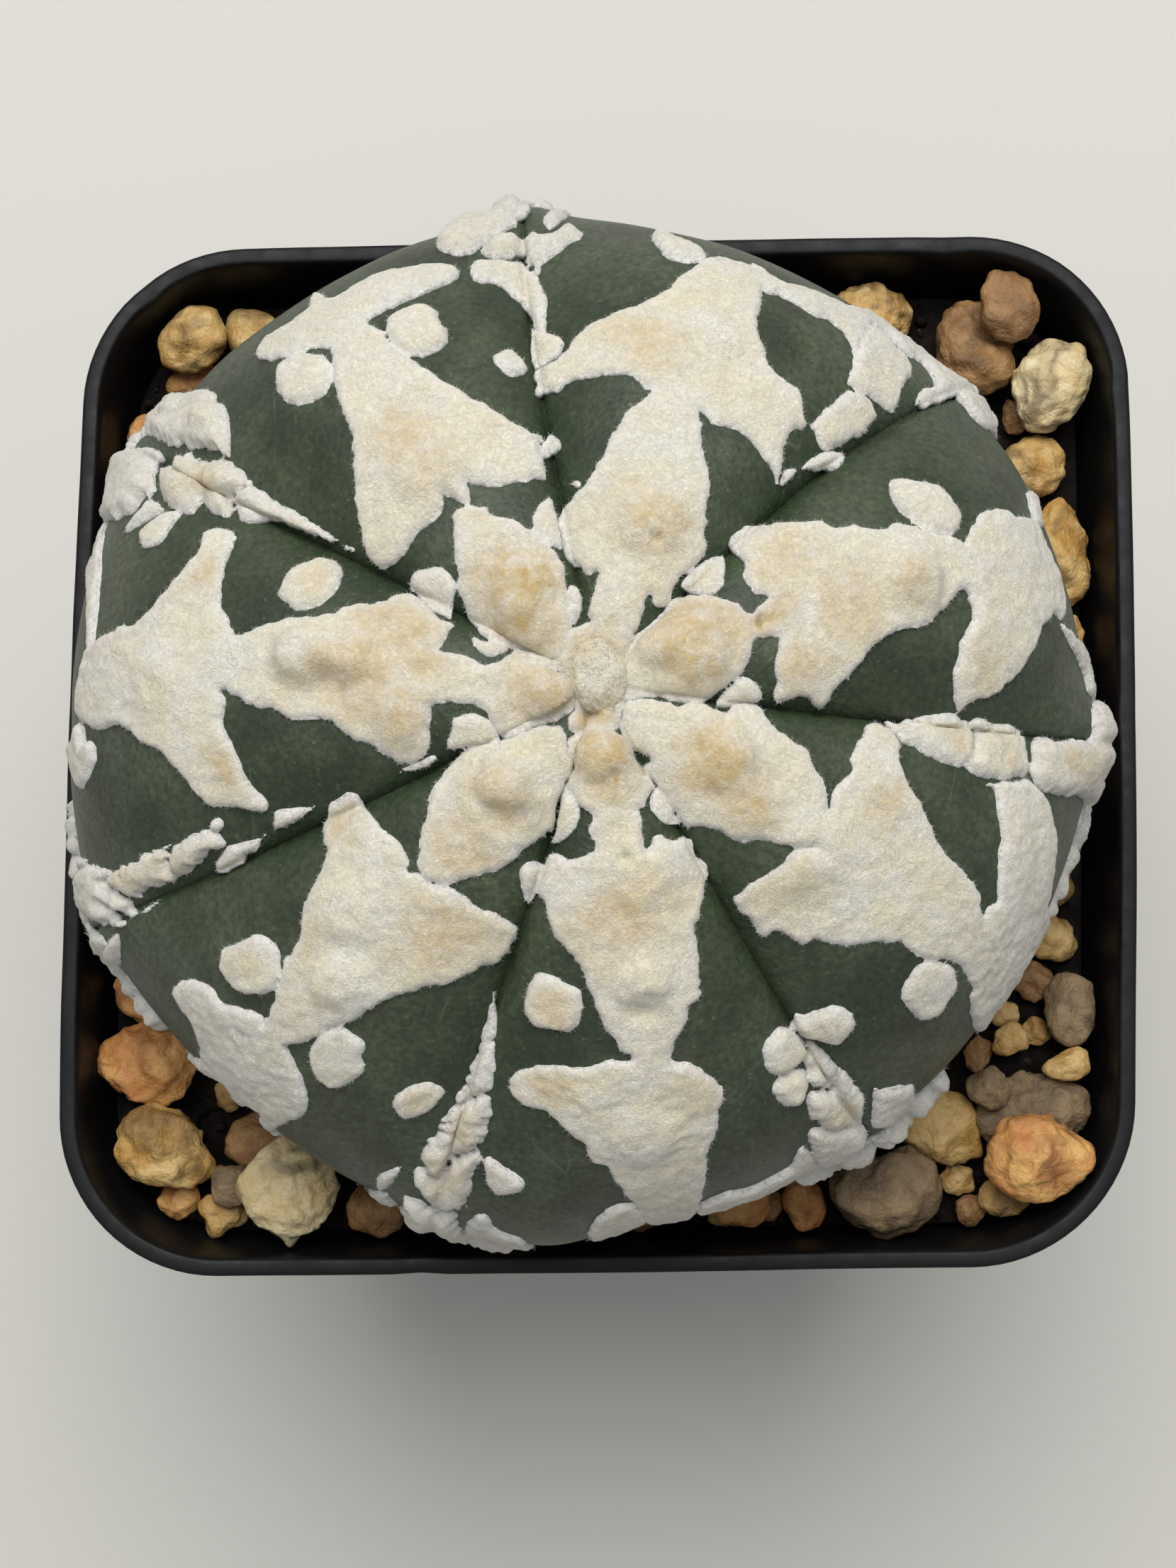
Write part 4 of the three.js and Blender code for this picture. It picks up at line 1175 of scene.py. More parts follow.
def clip_to_inside(
    points: np.ndarray, depth: np.ndarray, triangles: np.ndarray
) -> tuple[np.ndarray, np.ndarray, np.ndarray]:
    """Cuts a flat net of triangles along the line where depth is 0 and keeps the part above it.

    Args:
        points: Rows of x, y.
        depth: One value for each point.
        triangles: Corner numbers, all turning the same way.

    Returns:
        The kept points, their depths and the triangles.
    """
    inside = depth > 0
    count = inside[triangles].sum(axis=1)
    kept = [triangles[count == 3]]
    cut_pairs: dict[tuple[int, int], int] = {}

    def cut(a: int, b: int) -> int:
        """Gives the number of the point at which the side between two corners is cut."""
        pair = (a, b) if a < b else (b, a)
        return cut_pairs.setdefault(pair, len(points) + len(cut_pairs))

    made = []
    for corners in triangles[(count == 1) | (count == 2)].tolist():
        ins = [bool(inside[c]) for c in corners]
        alone = sum(ins) == 1
        k = ins.index(alone)
        a, b, c = corners[k], corners[(k + 1) % 3], corners[(k + 2) % 3]
        ab, ac = cut(a, b), cut(a, c)
        made += [(a, ab, ac)] if alone else [(ab, b, c), (ab, c, ac)]
    if made:
        kept.append(np.array(made))
    pairs = np.array(list(cut_pairs)) if cut_pairs else np.zeros((0, 2), int)
    a, b = pairs[:, 0], pairs[:, 1]
    t = (depth[a] / np.where(depth[a] == depth[b], 1, depth[a] - depth[b]))[:, None]
    points = np.concatenate([points, points[a] + t * (points[b] - points[a])])
    depth = np.concatenate([depth, np.zeros(len(pairs))])
    triangles = np.concatenate(kept)
    used, flat = np.unique(triangles.ravel(), return_inverse=True)
    return points[used], depth[used], flat.reshape(-1, 3)


@dataclass
class WoolSheet:
    """The felted wool on part of the plant: patches with rounded edges, closed underneath."""

    name: str
    patches: Sequence[Patch | FlankTuft]
    mapper: Mapper
    cell: float = 0.2
    fibres: float = 1.0
    sunk: float = 0.3
    ragged: float = 0.12
    calm_below: float = 3.5
    calmest: float = 0.35
    reach: float = 1.2
    fray: Noise = Noise(0.8, 31)
    fine_fray: Noise = Noise(0.33, 32)
    notch: float = 0.5
    notch_fade: float = 0.5
    lock_width: float = 1.25
    lock_lean: float = 0.8
    lock_gap: float = 0.17
    settle: float = 0.4
    part_width: float = 0.34
    part_depth: float = 0.6
    edge_highlight_width: float = 0.24
    tiny: float = 0.03
    thinnest: float = 0.06
    rim: np.ndarray | None = None
    grown: tuple[np.ndarray, ...] = ()
    outlines: list[np.ndarray] = field(default_factory=list)

    def _grid(self) -> tuple[np.ndarray, np.ndarray]:
        """Lays a square net over the patches.

        Returns:
            The points of the net, and its triangles.
        """
        low = np.min([o.min(axis=0) for o in self.outlines], axis=0) - 4 * self.cell
        high = np.max([o.max(axis=0) for o in self.outlines], axis=0) + 4 * self.cell
        columns, rows = np.ceil((high - low) / self.cell).astype(int) + 1
        across, along = self.cell * np.arange(columns), self.cell * np.arange(rows)
        x, y = np.meshgrid(low[0] + across, low[1] + along)
        start = (np.arange(rows - 1)[:, None] * columns + np.arange(columns - 1)).ravel()
        a, b, c, d = start, start + 1, start + columns + 1, start + columns
        odd = ((start // columns + start % columns) % 2 == 1)[:, None]
        first = np.where(odd, np.stack([a, b, c], 1), np.stack([a, b, d], 1))
        second = np.where(odd, np.stack([a, c, d], 1), np.stack([b, c, d], 1))
        return np.stack([x.ravel(), y.ravel()], axis=1), np.concatenate([first, second])

    def _depths(self, points: np.ndarray) -> tuple[np.ndarray, np.ndarray]:
        """Measures how deep the net's points lie in the wool, and how thick it is there.

        Args:
            points: Points laid flat.

        Returns:
            The depth and the thickness at each point.
        """
        depth = np.full(len(points), -1e3)
        thick = np.zeros(len(points))
        flat = at_height_0(points)
        ragged = self.ragged * (self.fray.at(flat) + 0.7 * self.fine_fray.at(flat))
        for patch, outline in zip(self.patches, self.outlines):
            low, high = outline.min(axis=0) - self.reach, outline.max(axis=0) + self.reach
            rows = np.nonzero(np.all((points > low) & (points < high), axis=1))[0]
            calm = np.clip(np.ptp(outline, axis=0).min() / self.calm_below, self.calmest, 1.0)
            inside = signed_distance(points[rows], outline) + calm * ragged[rows]
            if patch.kind is PLUME:
                fade = np.exp(-np.maximum(inside, 0) / self.notch_fade)
                inside -= self.notch * self._gaps(points[rows]) * fade
            height, edge = patch.kind.value
            swell = height * (1 - np.exp(-np.maximum(inside, 0) / edge))
            depth[rows] = np.maximum(depth[rows], inside)
            thick[rows] = np.maximum(thick[rows], swell)
        return depth, thick

    def _gaps(self, points: np.ndarray) -> np.ndarray:
        """Finds the gaps between the locks of plumed wool, which lean away from the groove.

        Args:
            points: Points laid flat.

        Returns:
            About 1 in the gaps and 0 on the locks.
        """
        flat = at_height_0(points)
        way, bearing = back_on_plant(points)
        near = self.mapper.shape.from_groove(way, bearing)
        bend, share = Noise(2.6, 47, 2).at(flat), Noise(1.9, 48).at(flat)
        lock = (way - self.lock_lean * near) / self.lock_width + 0.9 * bend
        deep = np.clip(0.6 + 0.8 * share, 0.1, 1.2)
        return deep * np.exp(-(((lock % 1 - 0.5) / self.lock_gap) ** 2))

    def _relief(self, points: np.ndarray, depth: np.ndarray, thick: np.ndarray) -> np.ndarray:
        """Adds the mounds, the dents and the unevenness of the felt to its thickness.

        Args:
            points: Points laid flat.
            depth: How deep each lies in the wool.
            thick: Thickness so far.

        Returns:
            The new thickness.
        """
        flat = at_height_0(points)
        settled = 1 - np.exp(-np.maximum(depth, 0) / self.settle)
        uneven = 0.06 * Noise(2.4, 41, 2).at(flat) + 0.06 * Noise(0.62, 42, 2).at(flat)
        curl = at_height_0(np.column_stack([Noise(3.1, 44).at(flat), Noise(3.1, 45).at(flat)]))
        locks = 1 - 2 * np.abs(Noise(1.5, 46, 2).at(flat * (1.0, 1.6, 1.0) + 1.2 * curl))
        thick = thick * (1 + 0.2 * Noise(4.5, 43).at(flat)) + settled * (uneven + 0.05 * locks)
        for spots, sign in ((MOUNDS, 1.0), (DENTS, -1.0)):
            middles = self.mapper.to_plane([(s[0], s[1]) for s in spots])
            for (_, _, radius, height), middle in zip(spots, middles):
                reach = np.sum((points - middle) ** 2, axis=1) / radius**2
                thick = thick + sign * height * settled * np.exp(-(reach**1.8))
        way, bearing = back_on_plant(points)
        parted = np.exp(-((self.mapper.shape.from_groove(way, bearing) / self.part_width) ** 2))
        kept = 1 - self.part_depth * (parted * smoothstep(6, 12, way))
        return np.maximum(thick * kept, self.thinnest)

    def _stain_and_pit_shade(self, points: np.ndarray) -> np.ndarray:
        """Works out how strongly the wool is stained, and where its pits get painted shade.

        Args:
            points: Points laid flat.

        Returns:
            One value for each point, 0 where it is clean and above 1 in the painted shade of the pits.
        """
        flat = at_height_0(points)
        warp = 0.5 * np.stack([Noise(1.6, 51, 2).at(flat), Noise(1.6, 52, 2).at(flat)], axis=1)
        stain = np.zeros(len(points))
        middles = self.mapper.to_plane([(s[0], s[1]) for s in STAINS_AND_PIT_SHADE])
        for (_, _, radius, strength), middle in zip(STAINS_AND_PIT_SHADE, middles):
            reach = np.sum((points + warp - middle) ** 2, axis=1) / radius**2
            stain = np.maximum(stain, strength * np.exp(-(reach**1.3)))
        return stain

    def build(self) -> bpy.types.Object:
        """Builds the sheet as one closed piece.

        Returns:
            The new piece.
        """
        self.outlines = [patch.unrolled(self.mapper) for patch in self.patches]
        points, triangles = self._grid()
        depth, _ = self._depths(points)
        depth = np.where((depth > -self.tiny) & (depth <= 0), self.tiny / 2, depth)
        used = (depth[triangles] > 0).any(axis=1)
        points, depth, triangles = clip_to_inside(points, depth, triangles[used])
        _, thick = self._depths(points)
        thick = self._relief(points, depth, thick)
        stain = self._stain_and_pit_shade(points)
        way, bearing = back_on_plant(points)
        shape = self.mapper.shape
        base, normal = shape.place(way, bearing), shape.normal(way, bearing)
        top, bottom = base + normal * thick[:, None], base - normal * self.sunk
        count = len(points)
        sides = np.concatenate([triangles[:, [0, 1]], triangles[:, [1, 2]], triangles[:, [2, 0]]])
        key = sides.min(axis=1) * count + sides.max(axis=1)
        _, index, times = np.unique(key, return_index=True, return_counts=True)
        self.rim = sides[index[times == 1]]
        a, b = self.rim.T
        walls = np.stack([b, a, a + count, b + count], axis=1)
        under = triangles[:, ::-1] + count
        # edge mark: the wool is painted whiter along its outline, a painted highlight where its rounded rim
        # and loose fibres catch the light
        edge = np.exp(-np.maximum(depth, 0) / self.edge_highlight_width)
        # flank mark: low on the plant, where the finish paints the wool greyer as shade
        flank = smoothstep(0.5, 1.05, way / shape.equator_way)
        self.grown = (base, normal, thick)
        marks = {"edge": np.tile(edge, 2), "stain": np.tile(stain, 2), "flank": np.tile(flank, 2)}
        faces = [triangles, under, walls]
        return make_piece(self.name, np.concatenate([top, bottom]), faces, "cactus_wool", marks=marks)


@dataclass(frozen=True)
class Overhang:
    """The wool just under the widest line, where the patches seen from above run on down the side."""

    mapper: Mapper
    probe: float = 2.8
    probe_step: float = 1.5
    rise: float = 3.3
    lobe_width: float = 2.4
    overlap: float = 1.25
    drop: Pair = (0.2, 4.0)
    cell: float = 0.27
    fibres: float = 1.5
    seed: int = 31

    def _runs(self, sheets: Sequence[WoolSheet]) -> list[Pair]:
        """Finds where the wool reaches the plant's widest line.

        Args:
            sheets: The wool seen from above.

        Returns:
            The first and the last bearing of each stretch, in degrees.
        """
        bearings = np.arange(0, 360, self.probe_step)
        way = np.full(len(bearings), self.mapper.shape.equator_way - self.probe)
        probes = laid_flat(way, np.radians(bearings))
        covered = np.zeros(len(bearings), bool)
        for outline in (outline for sheet in sheets for outline in sheet.outlines):
            covered |= signed_distance(probes, outline) > 0
        starts = np.nonzero(covered & ~np.roll(covered, 1))[0]
        runs = []
        for start in starts:
            length = int(np.argmin(np.roll(covered, -start)))
            first = float(bearings[start])
            runs.append((first, first + (length - 1) * self.probe_step))
        return runs

    def lobes(self, sheets: Sequence[WoolSheet]) -> tuple[FlankTuft, ...]:
        """Picks the lobes in which that wool ends.

        Args:
            sheets: The wool seen from above.

        Returns:
            The lobes.
        """
        random = np.random.default_rng(self.seed)
        reach = self.mapper.shape.equator_radius
        lobes = []
        for start, end in self._runs(sheets):
            width = math.radians(end - start + self.probe_step) * reach
            count = max(1, round(width / self.lobe_width))
            for k in range(count):
                drop = random.uniform(*self.drop)
                bearing = start + (k + 0.5) / count * (end - start)
                below, tall = (drop - self.rise) / 2, drop + self.rise
                wide, lean = self.overlap * width / count, random.uniform(-12, 12)
                lobes.append(FlankTuft(bearing, below, wide, tall, lean, PAD))
        return tuple(lobes)


@dataclass
class CrownTuft:
    """The upright tuft of young wool in the very middle of the crown."""

    mapper: Mapper
    middle: Pixel = (845.0, 951.0)
    half_sizes: Place = (1.7, 2.15, 1.25)
    steepest: float = 118.0
    rings: int = 60
    around: int = 120
    grown: tuple[np.ndarray, ...] = ()

    def build(self) -> bpy.types.Object:
        """Builds the tuft as one closed piece.

        Returns:
            The new piece.
        """
        middle = self.mapper.to_surface(np.array([self.middle], float))[0]
        down = np.radians(self.steepest) * (np.arange(self.rings) + 1) / (self.rings + 1)
        turn = np.linspace(0, 2 * math.pi, self.around, endpoint=False)
        down, turn = (grid.ravel() for grid in np.meshgrid(down, turn, indexing="ij"))
        ahead = np.stack([np.sin(down) * np.cos(turn), np.sin(down) * np.sin(turn), np.cos(down)], axis=1)
        ends = np.array([(0.0, 0.0, 1.0), (0.0, 0.0, -0.5)])
        ahead = np.concatenate([ahead, ends])
        sized = ahead * self.half_sizes
        lumps, strands = Noise(1.1, 61, 2), Noise(0.3, 62, 2)
        swell = 1 + 0.08 * lumps.at(sized) + 0.03 * strands.at(sized * (1.0, 0.3, 1.0))
        points = middle + sized * swell[:, None]
        count = len(points)
        low = smoothstep(0.35, 0.95, np.hypot(ahead[:, 0], ahead[:, 1]))
        stain = 0.15 + 0.4 * low * (0.7 + 0.3 * ahead[:, 1])
        marks = {"edge": np.zeros(count), "stain": stain, "flank": np.zeros(count)}
        even = (0.618 * np.arange(count - len(ends))) % 1 < np.sin(down)
        even = np.append(even, [False, False])
        self.grown = (points[even], ahead[even], np.zeros(even.sum()))
        faces = ring_faces(self.rings, self.around, count - 2, count - 1)
        return make_piece("wool_heart", points, faces, "cactus_wool", marks=marks)


@dataclass
class Fuzz:
    """Loose fibres that stand out of the wool: a soft fringe along its edges, and strays on its face."""

    sheets: Sequence[WoolSheet]
    heart: CrownTuft
    edge_hairs: int = 34000
    face_hairs: int = 14000
    heart_hairs: int = 700
    edge_length: Pair = (0.1, 0.34)
    face_length: Pair = (0.12, 0.34)
    heart_length: Pair = (0.3, 0.8)
    thickness: float = 0.012
    rooted: float = 0.06
    seed: int = 77

    def _edge_fibres(
        self, sheet: WoolSheet, count: int, random: np.random.Generator
    ) -> tuple[np.ndarray, ...]:
        """Picks fibres along the edge of one sheet.

        Args:
            sheet: The wool that they stand out of.
            count: How many there are.
            random: Source of the random picks.

        Returns:
            Roots, directions, lengths and how stained they are.
        """
        rim, (base, normal, thick) = sheet.rim, sheet.grown
        pick = random.integers(0, len(rim), count)
        a, b = rim[pick].T
        t = random.random((count, 1))
        along = base[b] - base[a]
        out = unit(np.cross(along, normal[a]))
        lean = out * random.uniform(0.5, 1.0, (count, 1))
        lean += normal[a] * random.uniform(0.0, 0.8, (count, 1))
        lean += unit(along) * random.normal(0, 0.7, (count, 1))
        high = random.uniform(0.1, 1.0, count) * (thick[a] + 0.12)
        root = base[a] * (1 - t) + base[b] * t + normal[a] * high[:, None] - out * self.rooted
        return root, lean, random.uniform(*self.edge_length, count) * sheet.fibres, np.zeros(count)

    def _face_fibres(
        self,
        sheet: WoolSheet | CrownTuft,
        count: int,
        length: Pair,
        stain: float,
        random: np.random.Generator,
    ) -> tuple[np.ndarray, ...]:
        """Picks fibres that lie on the face of one sheet.

        Args:
            sheet: The wool that they lie on.
            count: How many there are.
            length: The shortest and the longest.
            stain: How stained they are, 0 to 1.
            random: Source of the random picks.

        Returns:
            Roots, directions, lengths and how stained they are.
        """
        base, normal, thick = sheet.grown
        pick = random.integers(0, len(base), count)
        side = unit(np.cross(normal[pick], random.normal(0, 1, (count, 3))))
        lean = side + normal[pick] * random.uniform(0.1, 0.5, (count, 1))
        root = base[pick] + normal[pick] * (thick[pick] - 0.02)[:, None]
        return root, lean, random.uniform(*length, count), np.full(count, stain)

    def _spikes(
        self, name: str, parts: list[tuple[np.ndarray, ...]], random: np.random.Generator
    ) -> bpy.types.Object:
        """Builds fibres as thin closed spikes, all in one piece.

        Args:
            name: Name of the piece.
            parts: Roots, directions, lengths and stains from each sheet.
            random: Source of the random turns.

        Returns:
            The piece.
        """
        roots, leans, lengths, stains = (np.concatenate(rows) for rows in zip(*parts))
        ahead = unit(leans)
        side = unit(np.cross(ahead, random.normal(0, 1, ahead.shape)))
        other = np.cross(ahead, side)
        corners = []
        for k in range(3):
            a = 2 * math.pi * k / 3
            corners.append(roots + self.thickness * (math.cos(a) * side + math.sin(a) * other))
        tips = roots + ahead * lengths[:, None]
        points = np.stack([*corners, tips], axis=1).reshape(-1, 3)
        start = 4 * np.arange(len(roots))[:, None]
        faces = np.concatenate([start + f for f in ([0, 2, 1], [0, 1, 3], [1, 2, 3], [2, 0, 3])])
        stains = np.repeat(stains, 4)
        # fibres that are not stained carry the edge mark in full, so they get the same painted highlight as
        # the edges of the sheets
        marks = {"edge": 1 - stains, "stain": stains, "flank": np.zeros(len(points))}
        return make_piece(name, points, [faces], "cactus_wool", marks=marks)

    def build(self) -> list[bpy.types.Object]:
        """Builds the fringe and the strays.

        Returns:
            The two pieces.
        """
        random = np.random.default_rng(self.seed)
        edges = sum(len(s.rim) for s in self.sheets)
        points = sum(len(s.grown[0]) for s in self.sheets)
        fringe, strays = [], []
        for sheet in self.sheets:
            share = int(self.edge_hairs * len(sheet.rim) / edges)
            fringe.append(self._edge_fibres(sheet, share, random))
            share = int(self.face_hairs * len(sheet.grown[0]) / points)
            strays.append(self._face_fibres(sheet, share, self.face_length, 0.0, random))
        strays.append(self._face_fibres(self.heart, self.heart_hairs, self.heart_length, 0.5, random))
        parts = {"wool_fringe": fringe, "wool_strays": strays}
        return [self._spikes(name, part, random) for name, part in parts.items()]


@dataclass
class NurseryPot:
    """The square black plastic pot: tapered wall, stepped collar, lip, drained floor, air notches."""

    height: float = 65.0
    foot_half: float = 25.0
    top_half: float = 33.75
    depth_loss: float = 0.7
    foot_corner: float = 7.0
    top_corner: float = 9.2
    side_bow: float = 0.45
    front_bow: float = 0.1
    out_of_square: float = 0.013
    wall: float = 1.0
    collar_inside: float = -0.15
    floor_under: float = 2.0
    floor_top: float = 3.4
    drain_radius: float = 3.0
    drain_reach: float = 15.5
    drill_length: float = 4.0
    notch_width: float = 12.0
    notch_height: float = 1.4
    notch_depth: float = 6.0
    corner_steps: int = 18
    side_steps: int = 26
    burrs: tuple[Place, ...] = (
        (22.9, 33.5, 0.2), (34.4, 24.0, 0.22), (-30.2, 30.6, 0.2), (34.2, 1.6, 0.2), (-12.0, -34.2, 0.15),
    )
    burr_reach: float = 0.9
    burr_heights: Pair = (62.5, 64.3)
    crease_angle: float = 38.0
    piece: bpy.types.Object | None = None

    def profile(self) -> list[Pair]:
        """Draws the section of the wall, from under the floor round to its top.

        Returns:
            Heights and insets.
        """
        outer = [(self.floor_under, 1.9), (0.15, 1.8), (0.0, 1.65), (0.0, 0.4), (0.1, 0.15), (0.4, 0.02)]
        outer += [(z, 0.0) for z in (4, 10, 16, 22, 28, 34, 40, 46, 51, 54.2)]
        collar = [(54.55, -0.1), (55.0, -0.72), (55.3, -0.85), (58, -0.85), (61, -0.85), (63.5, -0.85)]
        lip = [(63.75, -0.92), (64.05, -1.24), (64.2, -1.3), (64.6, -1.3), (64.85, -1.24), (64.97, -1.1)]
        inside = self.collar_inside
        lip += [(65.0, -0.98), (65.0, inside - 0.2), (64.96, inside - 0.09), (64.85, inside)]
        inner = [(z, inside) for z in (64, 62, 60, 58, 56, 55.4)]
        inner += [(55.1, 0.3), (54.9, 0.7), (54.6, 0.98), (54, self.wall)]
        inner += [(z, self.wall) for z in (48, 40, 32, 24, 16, 8, 4.6)]
        inner += [(4.0, 1.06), (3.6, 1.35), (self.floor_top, 1.8)]
        return outer + collar + lip + inner

    def ring(self, z: float, inset: float) -> np.ndarray:
        """Walks once round the pot at a height.

        Args:
            z: Height of the ring.
            inset: How far it lies in from the wall line.

        Returns:
            Rows of x, y, z.
        """
        rise = z / self.height
        half_width = self.foot_half + (self.top_half - self.foot_half) * rise - inset
        half_depth = half_width - self.depth_loss * rise
        radius = self.foot_corner + (self.top_corner - self.foot_corner) * rise - inset
        flat = []
        for corner, (sx, sy) in enumerate(((1, 1), (-1, 1), (-1, -1), (1, -1))):
            middle = np.array([sx * (half_width - radius), sy * (half_depth - radius)])
            turn = (corner + np.arange(self.corner_steps) / self.corner_steps) * math.pi / 2
            flat.append(middle + radius * np.stack([np.cos(turn), np.sin(turn)], axis=1))
            end = (corner + 1) * math.pi / 2
            start = middle + radius * np.array([math.cos(end), math.sin(end)])
            run = np.array([-2 * middle[0], 0.0]) if corner % 2 == 0 else np.array([0.0, -2 * middle[1]])
            flat.append(start + run * (np.arange(self.side_steps) / self.side_steps)[:, None])
        x, y = np.concatenate(flat).T
        bowed = x + x / half_width * self.side_bow * rise * (1 - (y / half_depth) ** 2)
        swollen = y + y / half_depth * self.front_bow * rise * (1 - (x / half_width) ** 2)
        skew = self.out_of_square * rise
        return np.stack([bowed + skew * swollen, swollen + skew * bowed, np.full(len(x), z)], axis=1)

    def _burrs(self, points: np.ndarray) -> np.ndarray:
        """Raises the small moulding burrs and the waviness of the rim.

        Args:
            points: Points of the shell.

        Returns:
            The moved points.
        """
        moved = points.copy()
        high = smoothstep(*self.burr_heights, points[:, 2])
        inward = -unit(points[:, :2])
        for x, y, size in self.burrs:
            away = np.sum((points[:, :2] - (x, y)) ** 2, axis=1)
            near = np.exp(-away / self.burr_reach**2) * high
            moved[:, :2] += inward * (size * near)[:, None]
        wave = 0.04 * Noise(9.0, 61, 2).at(points) * high
        moved[:, :2] += inward * wave[:, None]
        moved[:, 2] -= 0.1 * np.abs(Noise(6.0, 62).at(points)) * smoothstep(64.2, 64.9, points[:, 2])
        return moved

    def build(self) -> bpy.types.Object:
        """Builds the shell and cuts its drain holes and air notches.

        Returns:
            The new piece.
        """
        profile = self.profile()
        rings = [self.ring(z, inset) for z, inset in profile]
        points = np.concatenate([*rings, [[0, 0, self.floor_under], [0, 0, self.floor_top]]])
        points = self._burrs(points)
        faces = ring_faces(len(rings), len(rings[0]), len(points) - 2, len(points) - 1)
        self.piece = make_piece("nursery_pot", points, faces, "black_plastic", ["pot"])
        cutters = []
        drill = {"vertices": 48, "radius": self.drain_radius * MM, "depth": self.drill_length * MM}
        reach, height = self.drain_reach * MM, (self.floor_under + self.floor_top) / 2 * MM
        for sx, sy in ((0, 0), (1, 1), (-1, 1), (-1, -1), (1, -1)):
            bpy.ops.mesh.primitive_cylinder_add(location=(sx * reach, sy * reach, height), **drill)
            cutters.append(bpy.context.object)
        for side in range(4):
            turn = side * math.pi / 2
            away = Vector((self.foot_half * math.sin(turn), -self.foot_half * math.cos(turn), 0)) * MM
            bpy.ops.mesh.primitive_cube_add(size=1, location=away, rotation=(0, 0, turn))
            notch = bpy.context.object
            notch.scale = (self.notch_width * MM, self.notch_depth * MM, 2 * self.notch_height * MM)
            cutters.append(notch)
        for cutter in cutters:
            cut = self.piece.modifiers.new("cut", "BOOLEAN")
            cut.operation, cut.solver, cut.object = "DIFFERENCE", "EXACT", cutter
        graph = bpy.context.evaluated_depsgraph_get()
        graph.update()
        done = bpy.data.meshes.new_from_object(self.piece.evaluated_get(graph))
        self.piece.modifiers.clear()
        self.piece.data = done
        for cutter in cutters:
            bpy.data.objects.remove(cutter)
        done.polygons.foreach_set("use_smooth", [True] * len(done.polygons))
        done.set_sharp_from_angle(angle=math.radians(self.crease_angle))
        return self.piece


